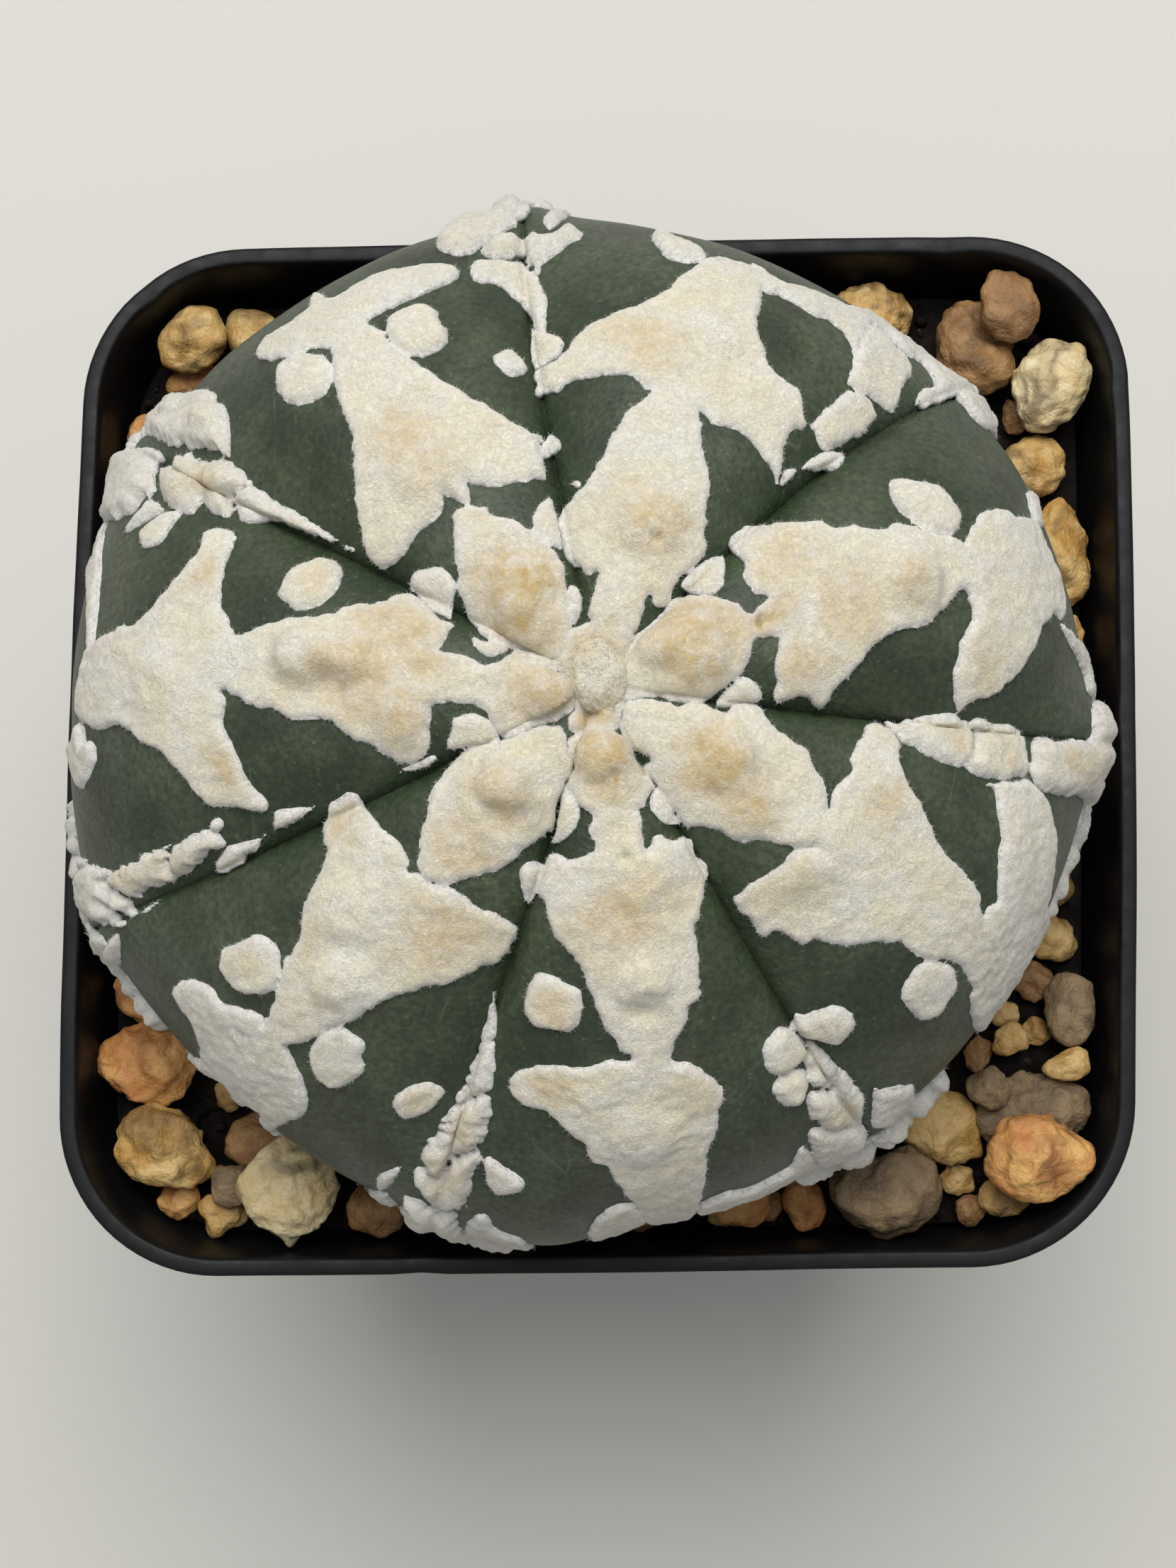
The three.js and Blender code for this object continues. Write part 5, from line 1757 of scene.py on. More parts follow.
@dataclass
class SoilBed:
    """The potting mix: it fills the pot under the plant, and its top is rough with grit."""

    shape: PlantShape
    pot: NurseryPot
    top: float = 58.6
    swell: float = 0.4
    gap: float = 0.5
    hair_gap: float = 0.3
    top_rings: int = 26
    grains: int = 1500
    seed: int = 5
    grain_reach: Pair = (0.18, 0.75)
    half_inside: Pair = (32.3, 31.7)
    round_off: float = 8.4

    @property
    def mouth(self) -> float:
        """Radius of the hollow's mouth, just clear of the plant."""
        radii, heights = zip(*reversed(self.shape.underside))
        return float(np.interp(self.top + self.swell, heights, radii)) + self.gap + 0.2

    def _hollow(self, edge: np.ndarray, radius: float, z: float) -> np.ndarray:
        """Draws a round ring about the plant's middle.

        Args:
            edge: Points of the bed's outer edge, each with one point of the ring facing it.
            radius: Radius of the ring.
            z: Its height.

        Returns:
            Rows of x, y, z.
        """
        middle = np.array(self.shape.equator_middle)
        turn = np.arctan2(edge[:, 1] - middle[1], edge[:, 0] - middle[0])
        x, y = middle[0] + radius * np.cos(turn), middle[1] + radius * np.sin(turn)
        return np.stack([x, y, np.full(len(edge), z)], axis=1)

    def build(self) -> bpy.types.Object:
        """Builds the bed round the hollow that the plant stands in.

        Returns:
            The new piece.
        """
        pot, shape = self.pot, self.shape
        low, inset = pot.floor_top + self.hair_gap, pot.wall + self.hair_gap
        sides = ((low, inset + 1.2), (pot.floor_top + 1.2, inset), (30, inset), (54.7, inset))
        beside = pot.collar_inside + self.hair_gap
        collar = ((55.9, beside), (self.top - 0.4, beside))
        rings = [pot.ring(z, i) for z, i in sides + collar]
        edge = pot.ring(self.top, beside + 0.3)
        lip = self._hollow(edge, self.mouth, self.top + self.swell)
        for k in range(self.top_rings + 1):
            t = k / self.top_rings
            ring = mix(edge, lip, t)
            lump = 0.35 * np.sin(0.55 * ring[:, 0] + 1.3) * np.cos(0.48 * ring[:, 1] - 0.4)
            rough = 0.16 * Noise(1.4, 71, 3).at(ring) - 0.14
            ring[:, 2] = self.top + self.swell * t + (lump * (0 < t < 1) + rough)
            rings.append(ring)
        cavity = [(radius + self.gap, z - 0.35) for radius, z in shape.underside if z < self.top]
        rings += [self._hollow(edge, radius, z) for radius, z in cavity]
        ends = [[0, 0, low], [*shape.equator_middle, shape.root_tip - 0.6]]
        points = np.concatenate([*rings, ends])
        faces = ring_faces(len(rings), len(edge), len(points) - 2, len(points) - 1)
        return make_piece("potting_mix", points, faces, "potting_soil", ["soil_bed"])

    def build_grit(self) -> bpy.types.Object:
        """Scatters crumbs of bark, grit and pumice over the bed, all in one piece.

        Returns:
            The new piece.
        """
        random = np.random.default_rng(self.seed)
        pip = bmesh.new()
        bmesh.ops.create_icosphere(pip, subdivisions=1, radius=1.0)
        ball = np.array([v.co for v in pip.verts])
        sides = np.array([[v.index for v in f.verts] for f in pip.faces])
        pip.free()
        points, faces, tone = [], [], []
        skew, middle = self.pot.out_of_square, self.shape.equator_middle
        (half_width, half_depth), round_off = self.half_inside, self.round_off
        while len(points) < self.grains:
            x, y = random.uniform(-33.0, 33.0, 2)
            across, deep = abs(x - skew * y), abs(y - skew * x)
            past_x, past_y = across - half_width + round_off, deep - half_depth + round_off
            corner = math.hypot(max(past_x, 0), max(past_y, 0))
            outside = across > half_width or deep > half_depth or corner > round_off + 0.1
            from_plant = math.hypot(x - middle[0], y - middle[1])
            if outside or from_plant < self.mouth + 0.3:
                continue
            reach = random.uniform(*self.grain_reach) * random.uniform(0.5, 1.0)
            stretch = reach * random.uniform(0.55, 1.25, 3)
            turn = random.uniform(0, math.pi)
            body = ball * random.uniform(0.75, 1.1, (len(ball), 1)) * stretch
            c, s = math.cos(turn), math.sin(turn)
            spin = np.array([[c, -s, 0], [s, c, 0], [0, 0, 1]])
            points.append(body @ spin.T + (x, y, self.top + 0.35 * stretch[2]))
            faces.append(sides + len(ball) * len(faces))
            tone.append(np.full(len(ball), random.random()))
        marks = {"tone": np.concatenate(tone)}
        return make_piece("soil_grit", np.concatenate(points), faces, "potting_soil", marks=marks)


@dataclass
class Gravel:
    """The top dressing: each stone of the frame weathered, pitted and coloured on its own."""

    nodes: dict[str, bpy.types.Object]
    levels: int = 3
    large: float = 5.2
    soften: int = 2
    most_worn: float = 0.42
    lobe_share: float = 0.36
    chip_size: float = 1.25
    grain_size: float = 0.42
    beyond: float = 0.3
    seed: int = 400

    def _stone(self, number: int, node: bpy.types.Object) -> bpy.types.Object:
        """Builds one stone from its node.

        Args:
            number: Number of the stone.
            node: The stone in the frame.

        Returns:
            The new piece.
        """
        mesh = bmesh.new()
        mesh.from_mesh(node.data)
        bmesh.ops.remove_doubles(mesh, verts=mesh.verts, dist=1e-6)
        before = np.array([v.co for v in mesh.verts]) / MM
        size = before.max(axis=0) - before.min(axis=0)
        levels = self.levels if size.max() > self.large else self.levels - 1
        for _ in range(levels):
            bmesh.ops.subdivide_edges(mesh, edges=mesh.edges, cuts=1, use_grid_fill=True)
        every_way = {"use_axis_x": True, "use_axis_y": True, "use_axis_z": True}
        for _ in range(self.soften):
            bmesh.ops.smooth_vert(mesh, verts=mesh.verts, factor=0.5, **every_way)
        bmesh.ops.triangulate(mesh, faces=mesh.faces)
        mesh.normal_update()
        points = np.array([v.co for v in mesh.verts]) / MM
        normals = np.array([v.normal for v in mesh.verts])
        faces = np.array([[v.index for v in f.verts] for f in mesh.faces])
        mesh.free()
        seed = self.seed + number
        reach = min(0.055 * size.max() + 0.05, self.most_worn)
        lobes = Noise(self.lobe_share * size.max(), seed, 2).at(points)
        chips = 1 - 2 * np.abs(Noise(self.chip_size, seed + 45, 2).at(points))
        grain = Noise(self.grain_size, seed + 90, 2).at(points)
        points = points + normals * (reach * (0.9 * lobes + 0.5 * chips) + 0.05 * grain)[:, None]
        low, high = before.min(axis=0) - self.beyond, before.max(axis=0) + self.beyond
        points = np.clip(points, low, high)
        hue = Noise(0.5 * size.max(), seed + 180, 2).at(points)
        marks = {"hue": 0.5 + 0.5 * hue}
        return make_piece(f"gravel_{number:02d}", points, [faces], frame_slot(node), [node.name], marks)

    def build(self) -> list[bpy.types.Object]:
        """Builds every stone and gives the pieces."""
        names = sorted(n for n in self.nodes if n.startswith("stone_"))
        return [self._stone(int(name.split("_")[1]), self.nodes[name]) for name in names]


def frame_slot(node: bpy.types.Object) -> str:
    """Finds the record's material slot of a node.

    Args:
        node: A node of the frame.

    Returns:
        The slot's name.
    """
    return next(p["material_slot"] for p in frame["record"]["subparts"] if p["node"] == node.name)


@dataclass(frozen=True)
class Graph:
    """A short way to place shader nodes in one tree and join them."""

    tree: bpy.types.NodeTree

    def add(
        self, kind: str, inputs: dict[str | int, Value] | None = None, **settings: object
    ) -> bpy.types.Node:
        """Places a node.

        Args:
            kind: Blender's name for the node.
            inputs: A value or another node's socket for each named or numbered input.
            settings: Properties of the node.

        Returns:
            The new node.
        """
        node = self.tree.nodes.new(kind)
        for name, value in settings.items():
            setattr(node, name, value)
        for name, value in (inputs or {}).items():
            socket = node.inputs[name]
            if isinstance(value, bpy.types.NodeSocket):
                self.tree.links.new(value, socket)
            elif isinstance(value, tuple) and len(value) == 3 and socket.type == "RGBA":
                socket.default_value = (*value, 1)
            else:
                socket.default_value = value
        return node

    def mask(self, name: str) -> bpy.types.NodeSocket:
        """Reads one of the values that a piece's points carry."""
        return self.add("ShaderNodeAttribute", attribute_name=name).outputs["Fac"]

    def times(self, a: Value, b: Value) -> bpy.types.NodeSocket:
        """Multiplies two values."""
        return self.add("ShaderNodeMath", {0: a, 1: b}, operation="MULTIPLY").outputs[0]

    def plus(self, a: Value, b: Value) -> bpy.types.NodeSocket:
        """Adds two values."""
        return self.add("ShaderNodeMath", {0: a, 1: b}, operation="ADD").outputs[0]

    def blend(self, share: Value, a: Value, b: Value) -> bpy.types.NodeSocket:
        """Mixes two colours: a at share 0, b at share 1."""
        return self.add("ShaderNodeMix", {0: share, 6: a, 7: b}, data_type="RGBA").outputs[2]

    def spread(
        self, value: Value, low: Value, high: Value, to_low: float = 0.0, to_high: float = 1.0
    ) -> bpy.types.NodeSocket:
        """Brings a value from one range into another, held inside it."""
        inputs = {0: value, 1: low, 2: high, 3: to_low, 4: to_high}
        return self.add("ShaderNodeMapRange", inputs, clamp=True).outputs[0]

    def place(self) -> bpy.types.NodeSocket:
        """Gives the place on the piece, in metres."""
        return self.add("ShaderNodeTexCoord").outputs["Object"]

    def noise(self, scale: Value, detail: Value, **inputs: Value) -> bpy.types.NodeSocket:
        """Places a cloudy texture; its other inputs go by their own names."""
        named = {"Vector": self.place(), "Scale": scale, "Detail": detail, **inputs}
        return self.add("ShaderNodeTexNoise", named).outputs[0]

    def group(self, group: bpy.types.NodeTree, **inputs: Value) -> bpy.types.Node:
        """Places a shared effect with its own values."""
        return self.add("ShaderNodeGroup", inputs, node_tree=group)

    def feed(self, source: bpy.types.NodeSocket, target: bpy.types.NodeSocket) -> None:
        """Joins an output to an input."""
        self.tree.links.new(source, target)


def new_effect(name: str, inputs: dict[str, float], outputs: Sequence[str]) -> tuple[Graph, dict, dict]:
    """Starts a shader node group.

    Args:
        name: Name of the group.
        inputs: Its inputs with their usual values.
        outputs: Its outputs.

    Returns:
        The graph to fill, its input sockets and its output sockets, by name.
    """
    tree = bpy.data.node_groups.new(name, "ShaderNodeTree")
    for label, value in inputs.items():
        tree.interface.new_socket(label, in_out="INPUT", socket_type="NodeSocketFloat").default_value = value
    for label in outputs:
        tree.interface.new_socket(label, in_out="OUTPUT", socket_type="NodeSocketFloat")
    graph = Graph(tree)
    source, sink = graph.add("NodeGroupInput"), graph.add("NodeGroupOutput")
    return graph, source.outputs, sink.inputs


class Effects:
    """The effects that several finishes share, each built once."""

    def __init__(self) -> None:
        """Builds the four groups."""
        self.mottle = self._mottle()
        self.felt = self._felt()
        self.specks = self._specks()
        self.dust = self._dust_and_sheen()

    @staticmethod
    def _mottle() -> bpy.types.NodeTree:
        """Makes cloudy patches.

        Returns:
            The group; its mask runs from 0 below Low to 1 above High.
        """
        inputs = {"Scale": 300.0, "Detail": 4.0, "Low": 0.4, "High": 0.6, "Warp": 0.0, "Seed": 0.0}
        graph, source, sink = new_effect("mottle", inputs, ["Mask"])
        shifted = {0: graph.place(), 1: source["Seed"]}
        moved = graph.add("ShaderNodeVectorMath", shifted, operation="ADD").outputs[0]
        named = {"Vector": moved, "Scale": source["Scale"], "Detail": source["Detail"]}
        clouds = graph.add("ShaderNodeTexNoise", {**named, "Distortion": source["Warp"]}).outputs[0]
        graph.feed(graph.spread(clouds, source["Low"], source["High"]), sink["Mask"])
        return graph.tree

    @staticmethod
    def _felt() -> bpy.types.NodeTree:
        """Makes matted fibres.

        Returns:
            The group, with a height for the bump and a mask of the hollows between the fibres, where the wool
            gets painted shade.
        """
        graph, source, sink = new_effect("felt", {"Scale": 2600.0, "Matting": 2.2}, ["Height", "Hollow"])
        fibre = graph.noise(source["Scale"], 5.0, Roughness=0.7, Distortion=source["Matting"])
        lump = graph.noise(graph.times(source["Scale"], 0.3), 3.0)
        graph.feed(graph.plus(fibre, graph.times(lump, 0.9)), sink["Height"])
        graph.feed(graph.spread(fibre, 0.38, 0.52, 1.0, 0.0), sink["Hollow"])
        return graph.tree

    @staticmethod
    def _specks() -> bpy.types.NodeTree:
        """Makes small round specks, each there or not by chance.

        Returns:
            The group, with the specks' mask.
        """
        graph, source, sink = new_effect("specks", {"Scale": 900.0, "Size": 0.12, "Share": 0.4}, ["Mask"])
        cells = graph.add("ShaderNodeTexVoronoi", {"Vector": graph.place(), "Scale": source["Scale"]})
        chance = graph.add("ShaderNodeSeparateColor", {0: cells.outputs["Color"]}).outputs[0]
        present = graph.add("ShaderNodeMath", {0: chance, 1: source["Share"]}, operation="LESS_THAN")
        small = graph.spread(cells.outputs["Distance"], 0.0, source["Size"], 1.0, 0.0)
        graph.feed(graph.times(present.outputs[0], small), sink["Mask"])
        return graph.tree

    @staticmethod
    def _dust_and_sheen() -> bpy.types.NodeTree:
        """Makes a dusting, scuffs and a painted sheen on faces that look up.

        Returns:
            The group, with the mask of the dusting, the scuffs and the painted sheen.
        """
        graph, source, sink = new_effect("dust", {"Amount": 0.5, "Scale": 400.0}, ["Mask"])
        normal = graph.add("ShaderNodeNewGeometry").outputs["Normal"]
        up = graph.spread(graph.add("ShaderNodeSeparateXYZ", {0: normal}).outputs[2], 0.1, 0.8)
        cover = graph.times(up, graph.spread(graph.noise(source["Scale"], 6.0), 0.35, 0.65, 0.35, 1.0))
        graph.feed(graph.times(cover, source["Amount"]), sink["Mask"])
        return graph.tree

    def clouds(
        self, graph: Graph, scale: float, low: float, high: float, detail: float = 4.0, **more: float
    ) -> bpy.types.NodeSocket:
        """Places the mottle with its own values and gives its mask."""
        values = {"Scale": scale, "Low": low, "High": high, "Detail": detail, **more}
        return graph.group(self.mottle, **values).outputs[0]

    def dots(self, graph: Graph, scale: float, size: float, share: float) -> bpy.types.NodeSocket:
        """Places the specks with their own values and gives their mask."""
        return graph.group(self.specks, Scale=scale, Size=size, Share=share).outputs[0]


def new_material(name: str, **uniform: Value) -> tuple[bpy.types.Material, Graph, bpy.types.Node]:
    """Starts a material.

    Args:
        name: Name of the material.
        uniform: Values that are the same all over, by the shader's socket name with _ for a space.

    Returns:
        The material, its graph and its shader.
    """
    material = bpy.data.materials.new(name)
    material.use_nodes = True
    graph = Graph(material.node_tree)
    shader = material.node_tree.nodes["Principled BSDF"]
    for label, value in uniform.items():
        shader.inputs[label.replace("_", " ")].default_value = value
    return material, graph, shader


def add_bump(
    graph: Graph, shader: bpy.types.Node, height: Value, distance: float, strength: float
) -> None:
    """Lets a height roughen the shading.

    Args:
        graph: Graph of the material.
        shader: Its shader.
        height: The height.
        distance: How far it stands out, in millimetres.
        strength: Share of the effect.
    """
    inputs = {"Height": height, "Distance": distance * MM, "Strength": strength}
    graph.feed(graph.add("ShaderNodeBump", inputs).outputs[0], shader.inputs["Normal"])


def dress(piece: bpy.types.Object, material: bpy.types.Material) -> None:
    """Gives a piece its one material."""
    piece.data.materials.clear()
    piece.data.materials.append(material)


@dataclass(frozen=True)
class SkinFinish:
    """Dark slate green skin, fresher in the grooves, greyer low on its flanks, partly its glaucous wax and
    partly a painted sheen.
    """

    dark: Colour = srgb(34, 41, 30)
    deep: Colour = srgb(54, 62, 45)
    pale: Colour = srgb(82, 90, 68)
    fresh: Colour = srgb(46, 68, 37)
    bloom_and_sheen: Colour = srgb(98, 107, 91)
    speck: Colour = srgb(128, 142, 112)
    scar: Colour = srgb(120, 130, 110)

    def make(self, effects: Effects) -> bpy.types.Material:
        """Makes the material.

        Args:
            effects: The shared effects.

        Returns:
            The material.
        """
        material, graph, shader = new_material("cactus_skin", Roughness=0.5, Specular_IOR_Level=0.32)
        clouds = effects.clouds(graph, 230.0, 0.36, 0.66, detail=5.0)
        colour = graph.blend(clouds, self.deep, self.pale)
        near = graph.mask("near_groove")
        patchy = effects.clouds(graph, 420.0, 0.3, 0.62, Seed=3.0)
        fresh = graph.times(graph.times(near, graph.plus(graph.times(patchy, 0.6), 0.4)), 0.6)
        colour = graph.blend(fresh, colour, self.fresh)
        # grey cast low on the flanks: the skin's wax, with a painted sheen where the steep slopes meet the
        # light at a grazing angle
        haze = effects.clouds(graph, 300.0, 0.25, 0.7, detail=6.0, Warp=0.6, Seed=7.0)
        colour = graph.blend(graph.times(graph.mask("flank"), graph.times(haze, 0.62)), colour, self.bloom_and_sheen)
        fine = effects.dots(graph, 2100.0, 0.28, 0.34)
        colour = graph.blend(graph.times(fine, 0.3), colour, self.speck)
        grain = effects.clouds(graph, 2400.0, 0.36, 0.64, Seed=11.0)
        colour = graph.blend(graph.times(grain, 0.5), colour, self.dark)
        flecks = effects.dots(graph, 620.0, 0.1, 0.16)
        colour = graph.blend(graph.times(flecks, 0.5), colour, self.speck)
        stretch = {"Vector": graph.place(), "Scale": (1.0, 0.28, 0.6), "Rotation": (0.3, 0.2, 0.9)}
        cells = {"Vector": graph.add("ShaderNodeMapping", stretch).outputs[0], "Scale": 420.0}
        lines = graph.add("ShaderNodeTexVoronoi", cells, feature="DISTANCE_TO_EDGE").outputs[0]
        where = effects.clouds(graph, 170.0, 0.58, 0.7, detail=2.0, Seed=5.0)
        scars = graph.times(graph.spread(lines, 0.0, 0.02, 1.0, 0.0), graph.times(where, 0.3))
        colour = graph.blend(scars, colour, self.scar)
        graph.feed(colour, shader.inputs["Base Color"])
        pores = graph.noise(3200.0, 3.0)
        add_bump(graph, shader, graph.plus(pores, graph.times(fine, -0.5)), 0.1, 0.8)
        return material


@dataclass(frozen=True)
class WoolFinish:
    """Cream felted wool, stained tan in places; painted highlight along its edges; painted shade in its fibre
    hollows, brown in its pits and grey down its flanks.
    """

    cream: Colour = srgb(255, 250, 231)
    white: Colour = srgb(255, 253, 248)
    grey: Colour = srgb(226, 222, 212)
    sand: Colour = srgb(252, 233, 186)
    tan: Colour = srgb(220, 183, 100)
    brown: Colour = srgb(112, 86, 52)
    shade: Colour = srgb(204, 188, 148)

    def make(self, effects: Effects) -> bpy.types.Material:
        """Makes the material.

        Args:
            effects: The shared effects.

        Returns:
            The material.
        """
        fluff = {"Sheen_Weight": 0.4, "Sheen_Roughness": 0.6, "Specular_IOR_Level": 0.12}
        material, graph, shader = new_material("cactus_wool", Roughness=0.95, **fluff)
        clouds = effects.clouds(graph, 260.0, 0.35, 0.66, detail=5.0, Seed=1.0)
        colour = graph.blend(graph.times(clouds, 0.55), self.cream, self.sand)
        pale = effects.clouds(graph, 520.0, 0.45, 0.65, Seed=9.0)
        colour = graph.blend(graph.times(pale, 0.45), colour, self.white)
        # painted shade: the wool is greyer low on the steep flanks, which turn away from the light
        colour = graph.blend(graph.times(graph.mask("flank"), 0.85), colour, self.grey)
        blotch = effects.clouds(graph, 900.0, 0.34, 0.64, detail=6.0, Warp=0.8, Seed=4.0)
        stain = graph.times(graph.mask("stain"), graph.plus(graph.times(blotch, 0.75), 0.39))
        colour = graph.blend(stain, colour, self.tan)
        # painted shade: brown in the pits, where the mark is above 1
        colour = graph.blend(graph.spread(graph.mask("stain"), 1.0, 1.7, 0.0, 0.9), colour, self.brown)
        felt = graph.group(effects.felt, Scale=2100.0, Matting=2.6)
        # painted shade in the hollows between the fibres, at a coarse and at a fine scale
        colour = graph.blend(graph.times(felt.outputs["Hollow"], 0.34), colour, self.shade)
        fine = graph.group(effects.felt, Scale=6500.0, Matting=1.6)
        colour = graph.blend(graph.times(fine.outputs["Hollow"], 0.28), colour, self.shade)
        dirt = effects.dots(graph, 700.0, 0.12, 0.07)
        colour = graph.blend(graph.times(dirt, 0.6), colour, self.tan)
        # painted highlight: whiter along the edges of the wool and on its loose fibres
        colour = graph.blend(graph.times(graph.mask("edge"), 0.85), colour, self.white)
        graph.feed(colour, shader.inputs["Base Color"])
        height = graph.plus(felt.outputs["Height"], graph.times(fine.outputs["Height"], 0.4))
        add_bump(graph, shader, height, 0.22, 0.92)
        return material


@dataclass(frozen=True)
class PlasticFinish:
    """Black nursery plastic: satin, greyer where it faces up, from scuffs and a dusting and from a painted
    sheen.
    """

    black: Colour = srgb(14, 14, 15)
    wear_and_sheen: Colour = srgb(32, 32, 31)
    silt: Colour = srgb(44, 41, 36)

    def make(self, effects: Effects) -> bpy.types.Material:
        """Makes the material.

        Args:
            effects: The shared effects.

        Returns:
            The material.
        """
        material, graph, shader = new_material("black_plastic", Specular_IOR_Level=0.24)
        dust = graph.group(effects.dust, Amount=0.4, Scale=700.0).outputs[0]
        # greyer on faces that look up: real scuffs and a dusting, with a painted sheen of the light on the
        # rim's top
        colour = graph.blend(dust, self.black, self.wear_and_sheen)
        silt = effects.clouds(graph, 240.0, 0.55, 0.8, detail=7.0, Seed=2.0)
        colour = graph.blend(graph.times(silt, 0.1), colour, self.silt)
        graph.feed(colour, shader.inputs["Base Color"])
        scuffs = effects.clouds(graph, 900.0, 0.3, 0.7, detail=6.0, Seed=6.0)
        rough = graph.plus(graph.times(scuffs, 0.16), graph.plus(graph.times(dust, 0.2), 0.4))
        graph.feed(rough, shader.inputs["Roughness"])
        add_bump(graph, shader, scuffs, 0.02, 0.5)
        return material


@dataclass(frozen=True)
class SoilFinish:
    """Dark potting mix, its darkest tone near black as painted shade of the deep gaps between the stones; its
    grit runs from near black to pale pumice.
    """

    dark: Colour = srgb(12, 10, 9)
    brown: Colour = srgb(32, 24, 18)
    pale: Colour = srgb(80, 66, 50)

    def make(self, effects: Effects) -> bpy.types.Material:
        """Makes the material.

        Args:
            effects: The shared effects.

        Returns:
            The material.
        """
        material, graph, shader = new_material("potting_mix", Roughness=0.95, Specular_IOR_Level=0.2)
        clouds = effects.clouds(graph, 900.0, 0.35, 0.7, detail=6.0)
        # near black: the mix's own dark brown, deepened by painted shade of the gaps between the stones
        colour = graph.blend(clouds, self.dark, self.brown)
        tone = graph.mask("tone")
        colour = graph.blend(graph.spread(tone, 0.45, 0.85, 0.0, 0.8), colour, self.brown)
        colour = graph.blend(graph.spread(tone, 0.93, 1.0, 0.0, 0.8), colour, self.pale)
        graph.feed(colour, shader.inputs["Base Color"])
        add_bump(graph, shader, clouds, 0.12, 0.8)
        return material


@dataclass(frozen=True)
class StoneFinish:
    """One sort of gravel: its main colour, a second one in clouds, and its veins and crusts."""

    name: str
    main: Colour
    second: Colour
    crust: Colour
    roughness: float = 0.7

    def make(self, effects: Effects) -> bpy.types.Material:
        """Makes the material.

        Args:
            effects: The shared effects.

        Returns:
            The material.
        """
        material, graph, shader = new_material(self.name, Roughness=self.roughness, Specular_IOR_Level=0.35)
        hue = graph.mask("hue")
        clouds = effects.clouds(graph, 520.0, 0.42, 0.6, Warp=0.5)
        share = graph.plus(graph.times(clouds, 0.6), graph.times(graph.spread(hue, 0.35, 0.6, 0.0, 1.0), 0.4))
        colour = graph.blend(share, self.main, self.second)
        crust = effects.clouds(graph, 300.0, 0.48, 0.64, detail=5.0, Warp=0.8, Seed=8.0)
        colour = graph.blend(graph.times(crust, 0.75), colour, self.crust)
        pits = effects.dots(graph, 800.0, 0.3, 0.3)
        colour = graph.blend(graph.times(pits, 0.5), colour, self.crust)
        grain = effects.clouds(graph, 3600.0, 0.3, 0.75, Seed=5.0)
        dull = graph.blend(graph.times(grain, 0.22), colour, tuple(0.45 * c for c in self.main))
        graph.feed(dull, shader.inputs["Base Color"])
        add_bump(graph, shader, graph.plus(grain, crust), 0.09, 0.8)
        return material


STONE_FINISHES = (
    StoneFinish("gravel_golden", srgb(192, 146, 76), srgb(226, 194, 130), srgb(112, 84, 50), 0.45),
    StoneFinish("gravel_orange", srgb(206, 138, 80), srgb(226, 178, 106), srgb(140, 88, 54), 0.45),
    StoneFinish("gravel_brown", srgb(150, 110, 70), srgb(178, 138, 90), srgb(106, 76, 50), 0.5),
    StoneFinish("gravel_taupe", srgb(124, 104, 80), srgb(158, 134, 98), srgb(80, 66, 50), 0.5),
    StoneFinish("gravel_cream", srgb(216, 190, 136), srgb(238, 222, 178), srgb(112, 96, 74), 0.5),
)


@dataclass(frozen=True)
class Studio:
    """A pale floor, and soft light from above and a little behind the plant."""

    floor_half: float = 900.0
    floor_colour: Colour = srgb(220, 217, 208)
    sky_colour: Colour = (0.93, 0.96, 1.0)
    sky_strength: float = 0.36
    light_place: Place = (-10.0, 230.0, 560.0)
    light_size: float = 420.0
    light_power: float = 2.9

    def build(self) -> None:
        """Builds the floor, the sky and the light."""
        half = self.floor_half
        corners = np.array([[-half, -half, 0], [half, -half, 0], [half, half, 0], [-half, half, 0]])
        mesh = bpy.data.meshes.new("floor")
        mesh.from_pydata((corners * MM).tolist(), [], [(0, 1, 2, 3)])
        floor = bpy.data.objects.new("floor", mesh)
        bpy.context.scene.collection.objects.link(floor)
        material, _, _ = new_material("floor", Base_Color=(*self.floor_colour, 1), Roughness=0.85)
        dress(floor, material)
        world = bpy.data.worlds.new("studio")
        world.use_nodes = True
        sky = world.node_tree.nodes["Background"]
        sky.inputs["Color"].default_value = (*self.sky_colour, 1)
        sky.inputs["Strength"].default_value = self.sky_strength
        bpy.context.scene.world = world
        data = bpy.data.lights.new("softbox", "AREA")
        data.shape, data.size, data.energy = "DISK", self.light_size * MM, self.light_power
        light = bpy.data.objects.new("softbox", data)
        light.location = Vector(self.light_place) * MM
        target = Vector((0, 0, 70)) * MM
        light.rotation_euler = (target - light.location).to_track_quat("-Z", "Y").to_euler()
        bpy.context.scene.collection.objects.link(light)
        bpy.context.scene.view_settings.view_transform = "Standard"


def write_sizes() -> None:
    """Updates the view layer.
    """
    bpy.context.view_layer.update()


def count_triangles(piece: bpy.types.Object) -> int:
    """Counts a piece's triangles."""
    return sum(len(p.vertices) - 2 for p in piece.data.polygons)


def report(piece: bpy.types.Object) -> None:
    """Logs a piece and how fine it is."""
    log.info("%s: %d triangles", piece.name, count_triangles(piece))


def dress_sheets(sheets: Sequence[WoolSheet], finish: bpy.types.Material) -> None:
    """Builds sheets of wool and gives each its material.

    Args:
        sheets: The sheets to build.
        finish: The wool's material.
    """
    for sheet in sheets:
        piece = sheet.build()
        dress(piece, finish)
        report(piece)


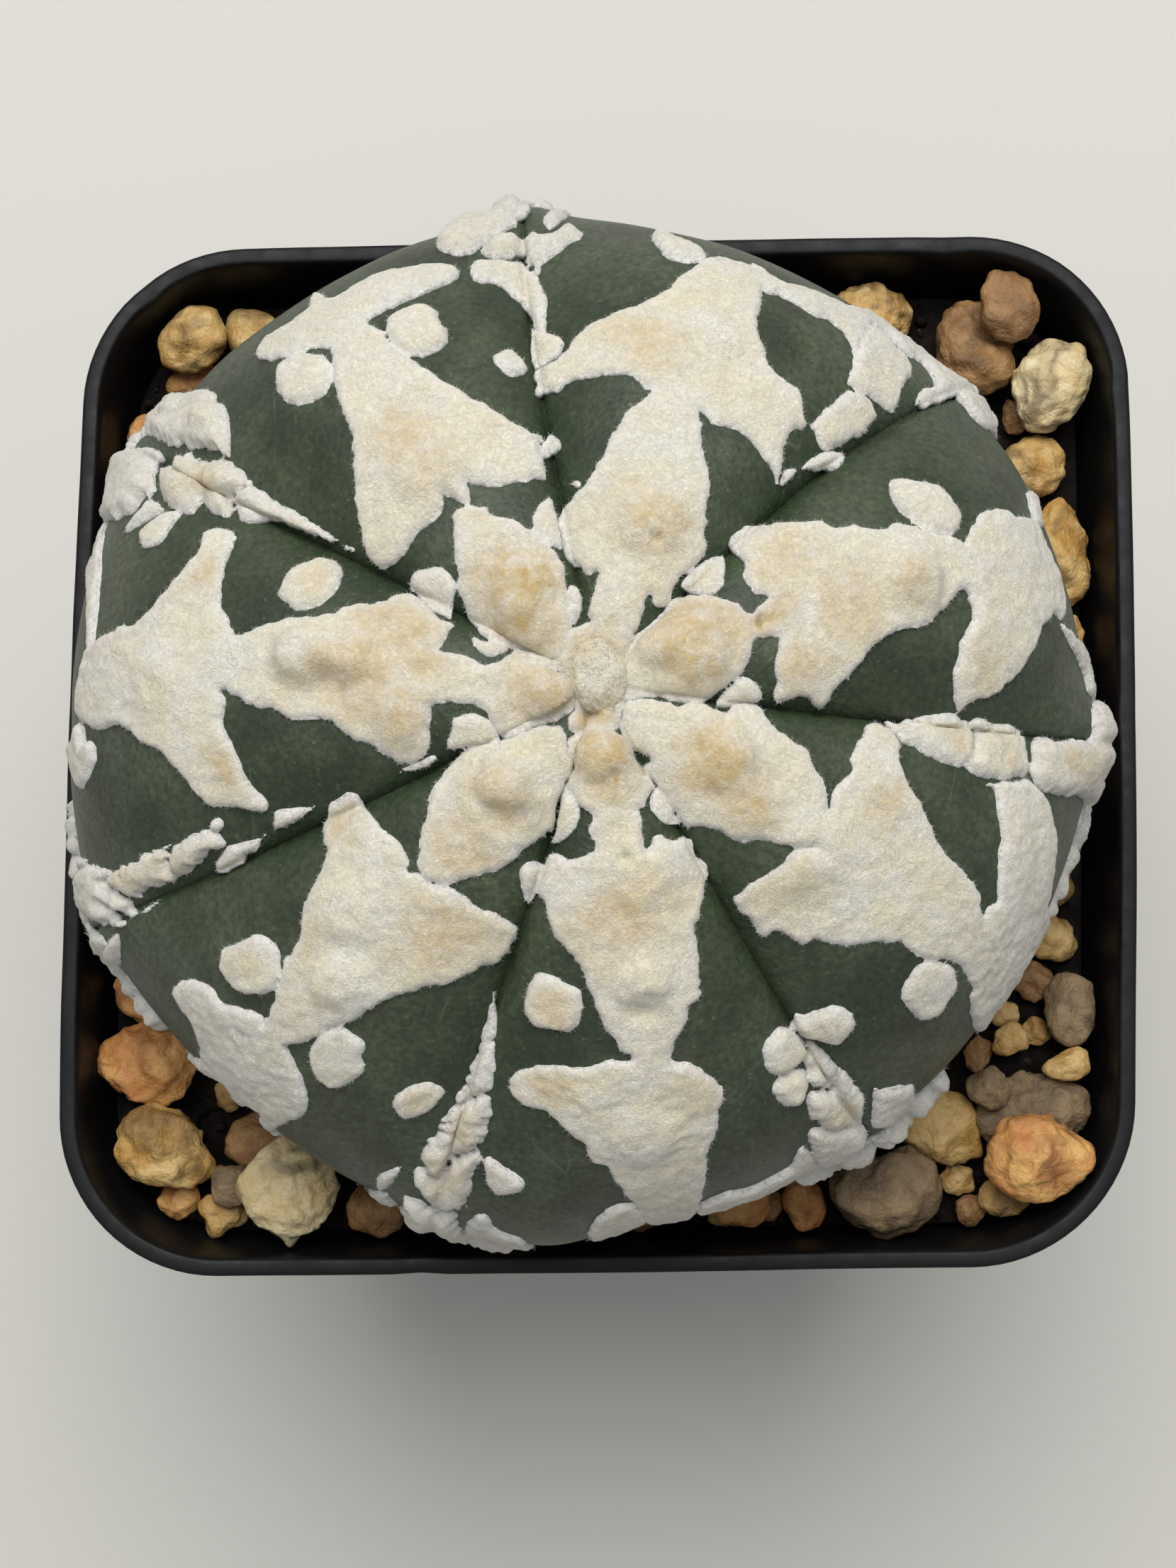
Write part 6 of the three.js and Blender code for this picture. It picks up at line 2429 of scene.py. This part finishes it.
def main() -> None:
    """Builds and dresses the potted plant piece by piece, then the studio round it."""
    logging.basicConfig(level=logging.INFO, format="%(name)s %(message)s")
    photograph = Photograph()
    photograph.set_up()
    effects = Effects()
    pot = NurseryPot()
    dress(pot.build(), PlasticFinish().make(effects))
    report(pot.piece)
    shape = PlantShape()
    soil = SoilBed(shape, pot)
    soil_finish = SoilFinish().make(effects)
    for piece in (soil.build(), soil.build_grit()):
        dress(piece, soil_finish)
        report(piece)
    stone_finishes = {finish.name: finish.make(effects) for finish in STONE_FINISHES}
    stones = Gravel(frame["nodes"]).build()
    for piece in stones:
        dress(piece, stone_finishes[piece["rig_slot"]])
    log.info("gravel: %d stones, %d triangles", len(stones), sum(count_triangles(s) for s in stones))
    skin = CactusSkin(shape)
    dress(skin.build(), SkinFinish().make(effects))
    report(skin.piece)
    mapper = Mapper(photograph, shape, skin.tree())
    wool_finish = WoolFinish().make(effects)
    sheets = [
        WoolSheet("wool_north", WOOL_NORTH + WOOL_NORTH_WEST, mapper),
        WoolSheet("wool_north_east", WOOL_NORTH_EAST, mapper),
        WoolSheet("wool_east", WOOL_EAST, mapper),
        WoolSheet("wool_south_east", WOOL_SOUTH_EAST, mapper),
        WoolSheet("wool_south", WOOL_SOUTH + WOOL_CROWN, mapper),
        WoolSheet("wool_south_west", WOOL_SOUTH_WEST, mapper),
        WoolSheet("wool_west", WOOL_WEST, mapper),
    ]
    dress_sheets(sheets, wool_finish)
    flank, overhang = FlankWool(shape), Overhang(mapper)
    tufts = {f"wool_flank_{rib + 1}": flank.on_rib(rib) for rib in range(len(shape.sinks))}
    lower = [WoolSheet("wool_overhang", overhang.lobes(sheets), mapper, overhang.cell, overhang.fibres)]
    lower += [WoolSheet(name, own, mapper, flank.cell, flank.fibres) for name, own in tufts.items()]
    dress_sheets(lower, wool_finish)
    heart = CrownTuft(mapper)
    for piece in (heart.build(), *Fuzz([*sheets, *lower], heart).build()):
        dress(piece, wool_finish)
        report(piece)
    Studio().build()
    write_sizes()


if __name__ == "__main__":
    main()
